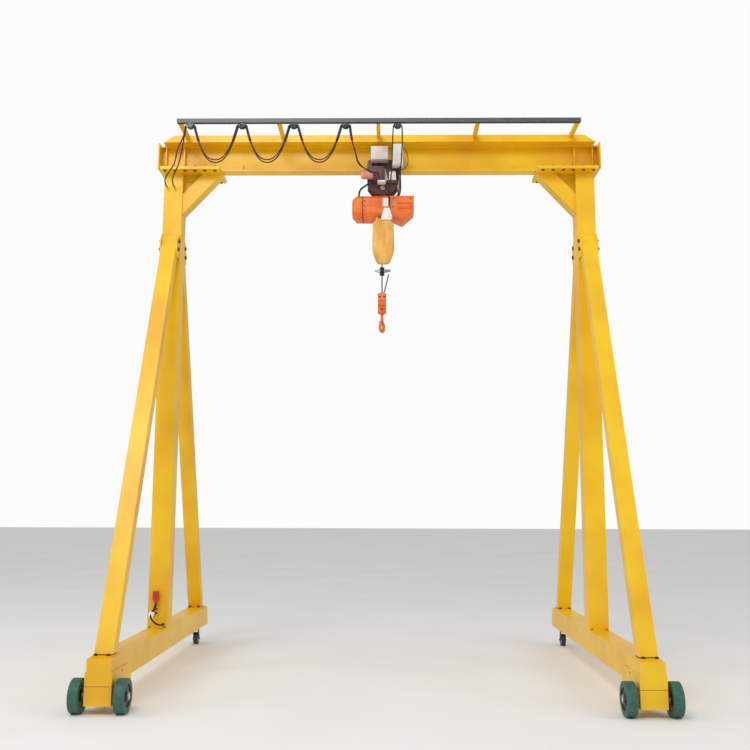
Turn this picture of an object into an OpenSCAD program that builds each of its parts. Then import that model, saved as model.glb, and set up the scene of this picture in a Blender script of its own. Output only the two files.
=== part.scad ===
// Portable gantry crane with an electric chain hoist.
// X runs along the girder, Y from front to rear, Z up. The origin is on the floor, mid-span.

/* [Overall sizes] */
// Distance between the centres of the two posts
span = 4000; // [3000:50:5200]
// Height of the girder's underside above the floor
girder_under = 4740; // [3800:20:5800]
// Distance from the post centre to the front end of a base beam
base_front = 1755; // [1400:5:2200]
// Distance from the post centre to the rear tip of a base beam
base_rear = 1815; // [1400:5:2300]

/* [Base beams] */
// Width of a base beam
base_w = 180; // [140:2:220]
// Height of a base beam
base_h = 195; // [150:5:240]
// Height of a base beam's underside above the floor
base_under = 199; // [185:1:230]
// Wall of a base beam
base_t = 8; // [5:1:12]
// Length of the slant at a base beam's rear end
base_slant = 60; // [0:5:100]
// Thickness of a wheel box cheek
cheek_t = 10; // [8:1:16]
// Length of a wheel box cheek
cheek_l = 500; // [420:10:600]

/* [Wheels] */
// Diameter of a front wheel
wheel_d = 250; // [220:5:270]
// Width of a front wheel
wheel_w = 75; // [60:1:85]
// Distance from the leg's centre plane to a front wheel's centre
wheel_x = 165; // [155:1:190]
// Diameter of a front axle
axle_d = 30; // [20:1:40]
// Diameter of a rear caster wheel
caster_d = 125; // [100:1:128]
// Width of a rear caster wheel
caster_w = 40; // [30:1:44]
// Diameter of a caster's kingpin
kingpin_d = 20; // [14:1:24]
// Horizontal distance from the kingpin to the caster's axle
caster_trail = 40; // [25:1:50]

/* [Posts and struts] */
// Width of a square post
post_w = 180; // [150:2:210]
// Wall of a post
post_t = 8; // [5:1:12]
// Width of a slanted strut
strut_w = 140; // [110:2:140]
// Horizontal thickness of a slanted strut
strut_thk = 108; // [80:1:130]
// Wall of a slanted strut
strut_t = 6; // [4:1:10]
// Height of the struts' upper ends above the base beam
strut_rise = 3666; // [2600:2:3900]
// Diameter of a strut's cross bolts
strut_bolt_d = 20; // [14:1:24]
// Horizontal reach of a knee brace
knee_run = 375; // [320:5:390]
// Drop of a knee brace below the head plate
knee_drop = 410; // [340:5:500]
// Width of a knee brace
knee_w = 140; // [100:2:160]

/* [Girder] */
// Height of the girder's I section
girder_h = 260; // [220:5:320]
// Width of the girder's flanges
flange_w = 120; // [110:2:130]
// Thickness of the girder's flanges
flange_t = 15; // [10:1:18]
// Thickness of the girder's web
web_t = 8; // [6:1:12]
// How far the girder passes the post centres
girder_over = 150; // [120:5:200]
// Width of the box cap on the girder
cap_w = 300; // [240:5:340]
// Height of the box cap on the girder
cap_h = 70; // [50:2:90]
// Thickness of each head plate
head_t = 15; // [10:1:20]
// Depth of a head plate from front to rear
head_w = 400; // [360:10:440]

/* [Cable rail] */
// Distance from the girder's centre plane forward to the cable rail
rail_y = 520; // [400:10:620]
// Outer size of the square cable rail
rail_s = 40; // [36:1:46]
// Radius of a cable carrier's saddle
saddle_r = 38; // [30:1:42]
// Sag of a festoon loop
loop_sag = 340; // [200:10:420]
// Diameter of a festoon cable
cable_d = 12; // [8:1:16]

/* [Trolley] */
// Position of the trolley's centre along the girder
trolley_x = 40; // [-400:10:400]
// Length of a trolley side plate
plate_l = 300; // [260:5:340]
// Thickness of a trolley side plate
plate_t = 10; // [8:1:14]
// Clear distance between the trolley's side plates
plate_gap = 170; // [164:2:190]
// Tread diameter of a trolley wheel
tread_d = 84; // [72:1:96]
// Distance from the trolley's centre to a wheel axle
wheelbase = 75; // [60:1:85]
// Diameter of the suspension shaft
shaft_d = 30; // [22:1:36]

/* [Hoist] */
// Height of the hoist's casing
hoist_h = 226; // [210:2:290]
// Depth of the hoist's casing from front to rear
hoist_d = 240; // [200:5:280]
// Height of the hoist casing's underside below the girder
hoist_below = 495; // [480:1:560]
// Width of the chain bag
bag_w = 216; // [180:2:240]
// Height of the chain bag
bag_h = 448; // [300:4:480]
// Distance from the girder's underside down to the top of the hook block
block_below = 1199; // [1100:1:1400]
// Height of the hook block
block_h = 212; // [180:2:240]
// Centre line radius of the hook's bowl
hook_bend = 42; // [36:1:48]
// Radius of the hook's round section
hook_r = 15; // [12:1:17]
// Angle that the hook is swivelled to, in degrees
hook_turn = 65; // [0:5:90]

/* [Hidden] */

$fn = 48;
// Radial clearance of a running fit
run_fit = 0.05;
// Gap between pieces that pass each other
gap = 0.3;
// Extra length that carries a cut through a face
over = 1;

base_top = base_under + base_h;
girder_top = girder_under + girder_h;
cap_top = girder_top + cap_h;
flange_top = girder_under + flange_t;
post_half = post_w / 2;
post_top = girder_under - 2 * head_t;

// Wheel box
cheek_in = base_w / 2;
cheek_out = cheek_in + cheek_t;
cheek_low = 64;
cheek_top = base_under + 101;
wheel_r = wheel_d / 2;
wheel_y = -base_front + 65;
axle_r = axle_d / 2;
hub_r = wheel_r - 40;
collar_r = axle_r + 12;
hole_y = -base_front + 255;
hole_z = base_under + 76;
hole_r = 12;

// Caster
caster_r = caster_d / 2;
kingpin_r = kingpin_d / 2;
kingpin_y = base_rear - 199;
caster_axle_r = 6;
pad_t = 12;
pad_w = 90;
pad_l = 110;
fork_t = 6;
fork_top = base_under - pad_t - gap;
fork_plate_t = 12;
fork_in = caster_w / 2 + 4;
pin_head_t = 8;
pin_head_top = fork_top - fork_plate_t - gap;

// Struts
foot_t = 12;
foot_hole_r = 20;
foot_over = 50;
foot_l = strut_thk + 2 * foot_over;
foot_bolt_x = strut_w / 2 - 22;
foot_bolt_y = foot_l / 2 - 24;
foot_bolt_r = 8;
front_foot = base_front - 95;
rear_foot = base_rear - 190;
strut_tip = 60;
strut_top = base_top + strut_rise;
lug_t = 12;
lug_in = strut_w / 2 + gap;
lug_out = lug_in + lug_t;
lug_depth = 115;
lug_low = strut_top - 210;
bolt_high = [40, 50];
bolt_low = [62, 135];
strut_bolt_r = strut_bolt_d / 2;

// Head plates, with their bolts
head_in = 465;
head_out = 110;
head_bolt_r = 8;
head_bolt_pitch = 97;
head_bolt_first = 70;
head_bolt_y = head_w / 2 - 35;
bolt_clear = 1;
knee_thk = 185;
knee_t = 6;
gusset_t = 12;

// Girder
end_plate_t = 12;
end_plate_w = 280;
girder_half = span / 2 + girder_over;
cap_half = girder_half - 50;
cap_bevel = 110;
cap_t = 8;
stiff_t = 10;
drain_r = 10;
stop_l = 60;
stop_x = span / 2 - 665;

// Cable rail
rail_half = span / 2 - 120;
rail_low = cap_top - rail_s;
rail_t = 3;
rail_slot = 14;
arm_count = 5;
arm_w = 36;
arm_half = rail_half - 20;
clamp_x = -span / 2 + 245;
carrier_step = (trolley_x + 140 - clamp_x) / 4;
tow_x = clamp_x + 4 * carrier_step;
saddle_w = 56;
neck_w = 12;
head_wide = 28;
saddle_top = rail_low - 12;
cable_r = cable_d / 2;
cable_pair = 16;
saddle_side = 16;
cable_exit = saddle_top - saddle_side;
saddle_edge = sqrt(saddle_r * saddle_r - saddle_side * saddle_side) + cable_r - 0.4;

// Trolley
tread_r = tread_d / 2;
rim_r = tread_r + 10;
trolley_axle_z = flange_top + tread_r;
trolley_axle_r = 10;
plate_in = plate_gap / 2;
plate_out = plate_in + plate_t;
plate_low = girder_under - 250;
plate_top = trolley_axle_z + 43;
shaft_r = shaft_d / 2;
shaft_z = plate_low + 60;
lug_w = 60;

// Hoist
hoist_low = girder_under - hoist_below;
hoist_top = hoist_low + hoist_h;
body_x = [trolley_x - 190, trolley_x + 71];
motor_x = trolley_x - 296;
gear_x = trolley_x + 302;
hoist_bevel = 55;
chain_x = trolley_x - 5;
chain_y = 30;
chain_r = 9;
chain_top = hoist_low + 10;
bag_t = 4;
bag_y = [-122, -20];
bag_top = hoist_low - gap;
bag_low = bag_top - bag_h;
block_top = girder_under - block_below;
block_low = block_top - block_h;
stop_low = block_top + 172;
stop_h = 78;
shank_r = 11;
shank_head_r = 17;
shank_head_t = 12;
hook_z = block_low - 2 * hook_bend * sin(60) - 56;
latch_x = chain_x - hook_r / 2;
latch_z = hook_z + 56;
latch_pin_r = 2.5;
latch_tip = [chain_x - 24.5, hook_z + 34.5];

paint = [0.95, 0.76, 0.12];
tyre_grey = [0.30, 0.38, 0.35];
steel = [0.6, 0.6, 0.62];
maroon = [0.32, 0.14, 0.16];
casing = [0.92, 0.45, 0.16];
pale = [0.88, 0.87, 0.86];
dark = [0.08, 0.07, 0.08];

// A box between two corners, given as ranges along X, Y and Z
module slab(x, y, z) {
    translate([x[0], y[0], z[0]]) cube([x[1] - x[0], y[1] - y[0], z[1] - z[0]]);
}

// Round bars along X, Y and Z
module rod_x(x, y, z, r) {
    translate([x[0], y, z]) rotate([0, 90, 0]) cylinder(r = r, h = x[1] - x[0]);
}
module rod_y(x, y, z, r) {
    translate([x, y[1], z]) rotate([90, 0, 0]) cylinder(r = r, h = y[1] - y[0]);
}
module rod_z(x, y, z, r) {
    translate([x, y, z[0]]) cylinder(r = r, h = z[1] - z[0]);
}

// Plates cut to an outline in the YZ or the XZ plane
module yz_plate(outline, x) {
    translate([x[0], 0, 0]) rotate([90, 0, 90]) linear_extrude(x[1] - x[0]) polygon(outline);
}
module xz_plate(outline, y) {
    translate([0, y[1], 0]) rotate([90, 0, 0]) linear_extrude(y[1] - y[0]) polygon(outline);
}

// Hexagonal bolt along Z, its head on the lower end and its nut on the upper end of a grip
module bolt_z(x, y, grip, r) {
    rod_z(x, y, [grip[0] - over / 2, grip[1] + over / 2], r);
    translate([x, y, grip[0] - 1.3 * r]) cylinder(r = 1.9 * r, h = 1.3 * r, $fn = 6);
    translate([x, y, grip[1]]) cylinder(r = 1.9 * r, h = 1.5 * r, $fn = 6);
    rod_z(x, y, [grip[1], grip[1] + 2 * r], r);
}

// Hexagonal bolt along X between two faces
module bolt_x(grip, y, z, r) {
    rod_x([grip[0] - over / 2, grip[1] + over / 2], y, z, r);
    translate([grip[0], y, z]) rotate([0, -90, 0]) cylinder(r = 1.9 * r, h = 1.3 * r, $fn = 6);
    translate([grip[1], y, z]) rotate([0, 90, 0]) cylinder(r = 1.9 * r, h = 1.5 * r, $fn = 6);
    rod_x([grip[1], grip[1] + 2 * r], y, z, r);
}

// Places a leg's part: local X points outwards from the post's centre
module leg(side) {
    translate([side * span / 2, 0, 0]) mirror([side < 0 ? 1 : 0, 0, 0]) children();
}

// ---- Legs ----

function beam_outline(t) =
    let (slope = base_slant / base_h, skin = t * sqrt(1 + slope * slope))
    [[-base_front + t, base_under + t],
     [base_rear - slope * t - skin, base_under + t],
     [base_rear - base_slant + slope * t - skin, base_top - t],
     [-base_front + t, base_top - t]];

module foot_holes(centre) {
    for (x = [-foot_bolt_x, foot_bolt_x], y = [-foot_bolt_y, foot_bolt_y])
        rod_z(x, centre + y, [base_top - base_t - over, base_top + foot_t + over], foot_bolt_r + bolt_clear);
}

module base_beam() {
    color(paint) difference() {
        yz_plate(beam_outline(0), [-base_w / 2, base_w / 2]);
        yz_plate(beam_outline(base_t), [-base_w / 2 + base_t, base_w / 2 - base_t]);
        foot_holes(-front_foot + strut_thk / 2);
        foot_holes(rear_foot - strut_thk / 2);
        rod_z(0, 0, [base_under - over, base_under + base_t + over], drain_r);
        rod_x([-cheek_out, cheek_out], hole_y, hole_z, hole_r);
    }
    color(steel) {
        slab([-pad_w / 2, pad_w / 2], [kingpin_y - pad_l / 2, kingpin_y + pad_l / 2],
            [base_under - pad_t, base_under]);
        rod_z(0, kingpin_y, [pin_head_top - pin_head_t, base_under - pad_t], kingpin_r);
        rod_z(0, kingpin_y, [pin_head_top - pin_head_t, pin_head_top], kingpin_r + 7);
    }
}

// The cheeks flank the base beam and carry the front axle below it
module wheel_box() {
    outline = [[-base_front, cheek_low], [-base_front + cheek_l - 170, cheek_low],
        [-base_front + cheek_l, cheek_low + 76], [-base_front + cheek_l, cheek_top - 55],
        [-base_front + cheek_l - 60, cheek_top], [-base_front, cheek_top]];
    color(paint) difference() {
        union() {
            yz_plate(outline, [cheek_in, cheek_out]);
            yz_plate(outline, [-cheek_out, -cheek_in]);
            slab([-cheek_in, cheek_in], [-base_front, -base_front + cheek_t], [cheek_low, base_under]);
            slab([-cheek_in, cheek_in], [-base_front, -base_front + cheek_l - 170],
                [cheek_low, cheek_low + cheek_t]);
        }
        rod_x([-cheek_out - over, cheek_out + over], wheel_y, wheel_r, axle_r + run_fit);
        rod_x([-cheek_out - over, cheek_out + over], hole_y, hole_z, hole_r);
    }
}

// The axle has a shoulder on each side of each wheel
module front_axle() {
    inner = wheel_x - wheel_w / 2 - gap;
    outer = wheel_x + wheel_w / 2 + gap;
    color(steel) {
        rod_x([-outer - 8, outer + 8], wheel_y, wheel_r, axle_r);
        for (side = [-1, 1])
            leg_mirror(side) {
                rod_x([cheek_out + gap, inner], wheel_y, wheel_r, collar_r);
                rod_x([outer, outer + 10], wheel_y, wheel_r, collar_r);
            }
    }
}

module leg_mirror(side) {
    mirror([side < 0 ? 1 : 0, 0, 0]) children();
}

// Tyre and hub, turned about the axle
module front_wheel(x) {
    half = wheel_w / 2;
    translate([x, wheel_y, wheel_r]) rotate([0, 90, 0]) {
        color(tyre_grey) rotate_extrude()
            polygon([[hub_r, -half], [wheel_r - 10, -half], [wheel_r - 3, -half + 3], [wheel_r, -half + 10],
                [wheel_r, half - 10], [wheel_r - 3, half - 3], [wheel_r - 10, half], [hub_r, half]]);
        color(dark) rotate_extrude()
            polygon([[axle_r + run_fit, -half], [axle_r + 18, -half], [axle_r + 18, -half + 14],
                [hub_r - 10, -half + 14], [hub_r - 10, -half + 4], [hub_r, -half + 4],
                [hub_r, half - 4], [hub_r - 10, half - 4], [hub_r - 10, half - 14],
                [axle_r + 18, half - 14], [axle_r + 18, half], [axle_r + run_fit, half]]);
    }
}

module caster_fork() {
    arm_y = kingpin_y + caster_trail;
    arm = [[kingpin_y - 32, fork_top - fork_plate_t], [kingpin_y + 38, fork_top - fork_plate_t],
        [arm_y + 16, caster_r + 8], [arm_y + 12, caster_r - 14], [arm_y - 12, caster_r - 14],
        [arm_y - 18, caster_r + 8]];
    color(steel) difference() {
        union() {
            slab([-fork_in - fork_t, fork_in + fork_t], [kingpin_y - 32, kingpin_y + 38],
                [fork_top - fork_plate_t, fork_top]);
            yz_plate(arm, [fork_in, fork_in + fork_t]);
            yz_plate(arm, [-fork_in - fork_t, -fork_in]);
            rod_x([-fork_in - fork_t - 5, fork_in + fork_t + 5], arm_y, caster_r, caster_axle_r);
        }
        rod_z(0, kingpin_y, [fork_top - fork_plate_t - over, fork_top + over], kingpin_r + run_fit);
    }
}

module caster_wheel() {
    half = caster_w / 2;
    translate([0, kingpin_y + caster_trail, caster_r]) rotate([0, 90, 0]) {
        color(tyre_grey) rotate_extrude()
            polygon([[caster_r - 22, -half], [caster_r - 5, -half], [caster_r, -half + 6],
                [caster_r, half - 6], [caster_r - 5, half], [caster_r - 22, half]]);
        color(dark) rotate_extrude()
            polygon([[caster_axle_r + run_fit, -half - 3], [caster_axle_r + 10, -half - 3],
                [caster_axle_r + 12, -half + 6], [caster_r - 22, -half + 6], [caster_r - 22, half - 6],
                [caster_axle_r + 12, half - 6], [caster_axle_r + 10, half + 3],
                [caster_axle_r + run_fit, half + 3]]);
    }
}

module strut_lugs(front) {
    edge = front * post_half;
    outline = [[edge, lug_low], [edge, strut_top + 15], [edge + front * 55, strut_top + 15],
        [edge + front * lug_depth, strut_top - 70], [edge + front * lug_depth, lug_low + 30],
        [edge + front * (lug_depth - 30), lug_low]];
    for (side = [-1, 1])
        leg_mirror(side) difference() {
            yz_plate(outline, [lug_in, lug_out]);
            strut_bolt_holes(front, strut_bolt_r + bolt_clear);
        }
}

module strut_bolt_holes(front, r) {
    for (spot = [bolt_high, bolt_low])
        rod_x([-lug_out - over, lug_out + over], front * (post_half + spot[0]), strut_top - spot[1], r);
}

module head_bolt_holes(z) {
    for (i = [0 : 5], y = [-head_bolt_y, head_bolt_y])
        rod_z(head_bolt_first - i * head_bolt_pitch, y, z, head_bolt_r + bolt_clear);
}

// Square tube with a head plate and the lugs that hold the struts
module post() {
    color(paint) difference() {
        union() {
            slab([-post_half, post_half], [-post_half, post_half], [base_top, post_top]);
            slab([-head_in, head_out], [-head_w / 2, head_w / 2], [post_top, post_top + head_t]);
        }
        slab([-post_half + post_t, post_half - post_t], [-post_half + post_t, post_half - post_t],
            [base_top - over, post_top]);
        head_bolt_holes([post_top - over, post_top + head_t + over]);
    }
    color(paint) strut_lugs(-1);
    color(paint) strut_lugs(1);
}

// Cable glands on the left post: a round body with a hexagonal nut against the tube
module gland(x, z, r) {
    rod_y(x, [-post_half - 24, -post_half], z, r + 4);
    translate([x, -post_half, z]) rotate([90, 0, 0]) cylinder(r = r + 8, h = 9, $fn = 6);
}

module left_post_fittings() {
    color(dark) gland(55, girder_under - 180, cable_r);
    color(dark) gland(-15, girder_under - 180, cable_r);
    color(dark) gland(-60, base_top + 38, supply_r);
    color(steel) slab([-20, 0], [-post_half - 22, -post_half], [base_top + 245, base_top + 285]);
}

function strut_outline(t, front) =
    let (foot = front < 0 ? front_foot : rear_foot,
        run = foot - post_half - strut_tip,
        lean = run / strut_rise,
        skin = t * sqrt(1 + lean * lean),
        reach = foot - strut_thk - post_half,
        low = base_top + foot_t)
    [[front * (foot - lean * (foot_t + t) - skin), low + t],
     [front * (foot - strut_thk - lean * (foot_t + t) + skin), low + t],
     [front * (post_half + t), base_top + (reach - t + skin) / lean],
     [front * (post_half + t), strut_top - t],
     [front * (post_half + strut_tip - skin + lean * t), strut_top - t]];

// Slanted box tube with a foot flange; front is -1 for the front strut and 1 for the rear one
module strut(front) {
    foot = front < 0 ? front_foot : rear_foot;
    centre = front * (foot - strut_thk / 2);
    low = base_top + foot_t;
    color(paint) difference() {
        union() {
            yz_plate(strut_outline(0, front), [-strut_w / 2, strut_w / 2]);
            slab([-strut_w / 2 - 8, strut_w / 2 + 8], [centre - foot_l / 2, centre + foot_l / 2],
                [base_top, low]);
        }
        yz_plate(strut_outline(strut_t, front), [-strut_w / 2 + strut_t, strut_w / 2 - strut_t]);
        rod_z(0, centre, [base_top - over, low + strut_t + over], foot_hole_r);
        foot_holes(centre);
        strut_bolt_holes(front, strut_bolt_r + run_fit);
    }
}

module strut_bolts() {
    color(steel) for (front = [-1, 1]) {
        foot = front < 0 ? front_foot : rear_foot;
        centre = front * (foot - strut_thk / 2);
        for (spot = [bolt_high, bolt_low])
            bolt_x([-lug_out, lug_out], front * (post_half + spot[0]), strut_top - spot[1], strut_bolt_r);
        for (x = [-foot_bolt_x, foot_bolt_x], y = [-foot_bolt_y, foot_bolt_y])
            bolt_z(x, centre + y, [base_top - base_t, base_top + foot_t], foot_bolt_r);
    }
}

function knee_x(shift, z) = -post_half - knee_run + shift + (post_top - z) * knee_run / knee_drop;
function knee_z(shift, x) = post_top - (x + post_half + knee_run - shift) * knee_drop / knee_run;

module knee_brace() {
    skin = knee_t * knee_thk / 130;
    color(paint) difference() {
        xz_plate([[knee_x(0, post_top), post_top], [knee_x(knee_thk, post_top), post_top],
            [-post_half, knee_z(knee_thk, -post_half)], [-post_half, knee_z(0, -post_half)]],
            [-knee_w / 2, knee_w / 2]);
        xz_plate([[knee_x(skin, post_top + 10), post_top + 10],
            [knee_x(knee_thk - skin, post_top + 10), post_top + 10],
            [-post_half + 10, knee_z(knee_thk - skin, -post_half + 10)],
            [-post_half + 10, knee_z(skin, -post_half + 10)]],
            [-knee_w / 2 + knee_t, knee_w / 2 - knee_t]);
    }
    color(paint) xz_plate([[knee_x(knee_thk, post_top), post_top], [-post_half, post_top],
        [-post_half, knee_z(knee_thk, -post_half)]], [-gusset_t / 2, gusset_t / 2]);
}

module head_bolts() {
    color(steel) for (i = [0 : 5], y = [-head_bolt_y, head_bolt_y])
        bolt_z(head_bolt_first - i * head_bolt_pitch, y, [post_top, girder_under], head_bolt_r);
}

// ---- Girder ----

module girder_beam() {
    color(paint) {
        slab([-girder_half + end_plate_t, girder_half - end_plate_t], [-flange_w / 2, flange_w / 2],
            [girder_under, flange_top]);
        slab([-girder_half + end_plate_t, girder_half - end_plate_t], [-web_t / 2, web_t / 2],
            [flange_top, girder_top - flange_t]);
        slab([-girder_half + end_plate_t, girder_half - end_plate_t], [-flange_w / 2, flange_w / 2],
            [girder_top - flange_t, girder_top]);
        for (side = [-1, 1])
            leg_mirror(side) {
                slab([girder_half - end_plate_t, girder_half], [-end_plate_w / 2, end_plate_w / 2],
                    [girder_under, girder_top]);
                for (x = [-post_half, post_half])
                    slab([span / 2 + x - stiff_t / 2, span / 2 + x + stiff_t / 2],
                        [-flange_w / 2, flange_w / 2], [flange_top, girder_top - flange_t]);
            }
    }
    for (side = [-1, 1])
        leg(side) color(paint) difference() {
            slab([-head_in, head_out], [-head_w / 2, head_w / 2], [girder_under - head_t, girder_under]);
            head_bolt_holes([girder_under - head_t - over, girder_under + over]);
        }
}

// Box cap along the girder, with sloped ends
module girder_cap() {
    color(paint) difference() {
        xz_plate([[-cap_half, girder_top], [cap_half, girder_top], [cap_half - cap_bevel, cap_top],
            [-cap_half + cap_bevel, cap_top]], [-cap_w / 2, cap_w / 2]);
        xz_plate([[-cap_half + 3 * cap_t, girder_top + cap_t], [cap_half - 3 * cap_t, girder_top + cap_t],
            [cap_half - cap_bevel, cap_top - cap_t], [-cap_half + cap_bevel, cap_top - cap_t]],
            [-cap_w / 2 + cap_t, cap_w / 2 - cap_t]);
        for (side = [-1, 1])
            rod_z(side * (cap_half - 200), cap_w / 2 - 40, [girder_top - over, girder_top + cap_t + over],
                drain_r);
    }
}

// Buffers on both sides of the web that end the trolley's travel
module end_stops() {
    color(paint) for (side = [-1, 1], y = [-1, 1])
        leg_mirror(side) mirror([0, y < 0 ? 1 : 0, 0]) {
            slab([stop_x, stop_x + 10], [web_t / 2, flange_w / 2 - 4], [flange_top, flange_top + 60]);
            slab([stop_x + 10, stop_x + stop_l], [web_t / 2, flange_w / 2 - 4],
                [flange_top, flange_top + 10]);
        }
}

// ---- Cable rail and festoon ----

module cable_rail() {
    color(steel) difference() {
        slab([-rail_half, rail_half], [-rail_y - rail_s / 2, -rail_y + rail_s / 2], [rail_low, cap_top]);
        slab([-rail_half - over, rail_half + over],
            [-rail_y - rail_s / 2 + rail_t, -rail_y + rail_s / 2 - rail_t], [rail_low + rail_t, cap_top - rail_t]);
        slab([-rail_half - over, rail_half + over], [-rail_y - rail_slot / 2, -rail_y + rail_slot / 2],
            [rail_low - over, rail_low + rail_t + over]);
    }
    color(dark) saddle(clamp_x, rail_low);
}

// Half-round saddle below the rail that the cables hang over
module saddle(x, top) {
    difference() {
        rod_y(x, [-rail_y - saddle_w / 2, -rail_y + saddle_w / 2], saddle_top, saddle_r);
        slab([x - saddle_r - over, x + saddle_r + over], [-rail_y - saddle_w, -rail_y + saddle_w],
            [saddle_top, saddle_top + saddle_r + over]);
    }
    slab([x - 14, x + 14], [-rail_y - saddle_w / 2, -rail_y + saddle_w / 2], [saddle_top - over, top]);
}

// Arms that carry the rail in front of the girder's cap
module rail_arms() {
    color(paint) for (i = [0 : arm_count - 1]) {
        x = -arm_half + i * 2 * arm_half / (arm_count - 1);
        slab([x - arm_w / 2, x + arm_w / 2], [-rail_y + rail_s / 2, -cap_w / 2 - 8],
            [cap_top - arm_w, cap_top]);
        slab([x - arm_w / 2, x + arm_w / 2], [-cap_w / 2 - 8, -cap_w / 2], [girder_top, cap_top]);
    }
}

// Carrier number i, with its head inside the rail and its neck through the slot
module carrier(i) {
    x = clamp_x + i * carrier_step;
    color(dark) {
        saddle(x, saddle_top + 2);
        slab([x - 20, x + 20], [-rail_y - neck_w / 2, -rail_y + neck_w / 2],
            [saddle_top, rail_low + rail_t + gap]);
        slab([x - 24, x + 24], [-rail_y - head_wide / 2, -rail_y + head_wide / 2],
            [rail_low + rail_t + gap, rail_low + rail_t + 18]);
    }
}

// Sweeps a round cable along a list of points
function unit(v) = v / norm(v);
function heading(path, i) =
    unit(path[min(i + 1, len(path) - 1)] - path[max(i - 1, 0)]);
function side_of(v) = unit(cross(v, abs(v[2]) > 0.9 ? [0, 1, 0] : [0, 0, 1]));
function turn(previous, v) = unit(previous - (previous * v) * v);
function normals(path, i = 0, last = [0, 0, 0]) =
    i == len(path) ? []
    : let (v = heading(path, i), n = i == 0 ? side_of(v) : turn(last, v))
        concat([n], normals(path, i + 1, n));
module sweep(path, r, sides) {
    n = normals(path);
    rings = [for (i = [0 : len(path) - 1], k = [0 : sides - 1])
        let (v = heading(path, i), b = cross(v, n[i]), a = 360 * k / sides)
        path[i] + r * (cos(a) * n[i] + sin(a) * b)];
    walls = [for (i = [0 : len(path) - 2], k = [0 : sides - 1])
        let (a = i * sides + k, b = i * sides + (k + 1) % sides)
        [a, b, b + sides, a + sides]];
    first = [for (k = [sides - 1 : -1 : 0]) k];
    last = [for (k = [0 : sides - 1]) (len(path) - 1) * sides + k];
    polyhedron(points = rings, faces = [for (f = concat([first], walls, [last]))
        [for (j = [len(f) - 1 : -1 : 0]) f[j]]]);
}

// Points of a smooth curve through a list of points, with so many steps between each pair
function curve_point(p, i, t) =
    let (a = p[max(i - 1, 0)], b = p[i], c = p[i + 1], d = p[min(i + 2, len(p) - 1)])
    0.5 * (2 * b + (c - a) * t + (2 * a - 5 * b + 4 * c - d) * t * t
        + (3 * b - a - 3 * c + d) * t * t * t);
function curve(p, steps) =
    concat([for (i = [0 : len(p) - 2], s = [0 : steps - 1]) curve_point(p, i, s / steps)],
        [p[len(p) - 1]]);

// A hanging loop from one saddle to the next: the sides fall steeply and the bottom is round
loop_rings = 18;
function loop_path(x, y, sag) =
    let (half = carrier_step / 2 - saddle_edge)
    [for (k = [0 : loop_rings])
        let (a = 180 * k / loop_rings, u = -cos(a), drop = 1 - pow(abs(u), 2.4))
        [x + carrier_step / 2 + half * u, -rail_y + y, cable_exit - sag * drop]];

module festoon_cable() {
    color(dark) {
        for (i = [0 : 2], k = [-1, 1])
            sweep(loop_path(clamp_x + i * carrier_step, k * cable_pair, loop_sag + 6 * k), cable_r, 8);
        for (k = [-1, 1])
            sweep(curve(last_loop(k * cable_pair), 3), cable_r, 8);
    }
}

// The last loop runs from the third carrier down to the drive on the trolley
function last_loop(y) =
    let (x = clamp_x + 3 * carrier_step + saddle_edge, z = girder_under)
    [[x, -rail_y + y, cable_exit], [x + 15, -rail_y + y, z + 150], [x + 50, -rail_y + y, z + 10],
     [x + 90, -rail_y + 60 + y, z - 90], [trolley_x - 100 + y, -370, z - 130],
     [trolley_x - 70 + y, -300, z - 110], [trolley_x - 60 + y, -255, z - 95],
     [trolley_x - 60 + y, -235, z - 95], [trolley_x - 60 + y, -plate_out - 115.5, z - 95]];

// Two cables from the rail's left end to the glands on the left post
function feed_route(end_x, y) =
    let (p = -span / 2, z = girder_under, x = p - end_x)
    [[clamp_x - saddle_edge, -rail_y + y, cable_exit], [p + 180, -rail_y + y + 20, z + 160],
     [p + 130 + y, -430 + y, z + 60], [p + 80 + y, -340 + y, z - 40], [x + 10, -230, z - 130],
     [x, -160, z - 180], [x, -138, z - 180], [x, -post_half - 24.5, z - 180]];

module feed_cable() {
    color(dark) {
        sweep(curve(feed_route(55, -cable_pair), 3), cable_r, 8);
        sweep(curve(feed_route(-15, cable_pair), 3), cable_r, 8);
    }
}

// Cables from the tow carrier down to the control box and to the hoist
control_drop = cable_exit - girder_under;
control_route = [[0, 0, 0], [4, 15, -80], [2, 90, -200], [-6, 180, -control_drop - 38],
    [-12, 280, -control_drop - 90], [-14, 345, -control_drop - 78], [-14, 360, -control_drop - 43],
    [-14, 360, -control_drop - 23], [-14, 360, -control_drop + 3.5]];
hoist_drop = cable_exit - hoist_low - 130;
hoist_route = [[0, 0, 0], [-4, 20, -90], [-10, 120, -250], [-20, 230, -420], [-34, 310, -hoist_drop + 110],
    [-39, 350, -hoist_drop], [-39, 375, -hoist_drop], [-39, 399.5, -hoist_drop]];
tail_start = saddle_edge + 2 * gap;
module trolley_cable() {
    color(dark) {
        translate([tow_x + tail_start, -rail_y, cable_exit]) sweep(curve(control_route, 4), cable_r, 8);
        translate([tow_x - tail_start, -rail_y, cable_exit]) sweep(curve(hoist_route, 4), cable_r, 8);
    }
}

// ---- Trolley ----

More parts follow.
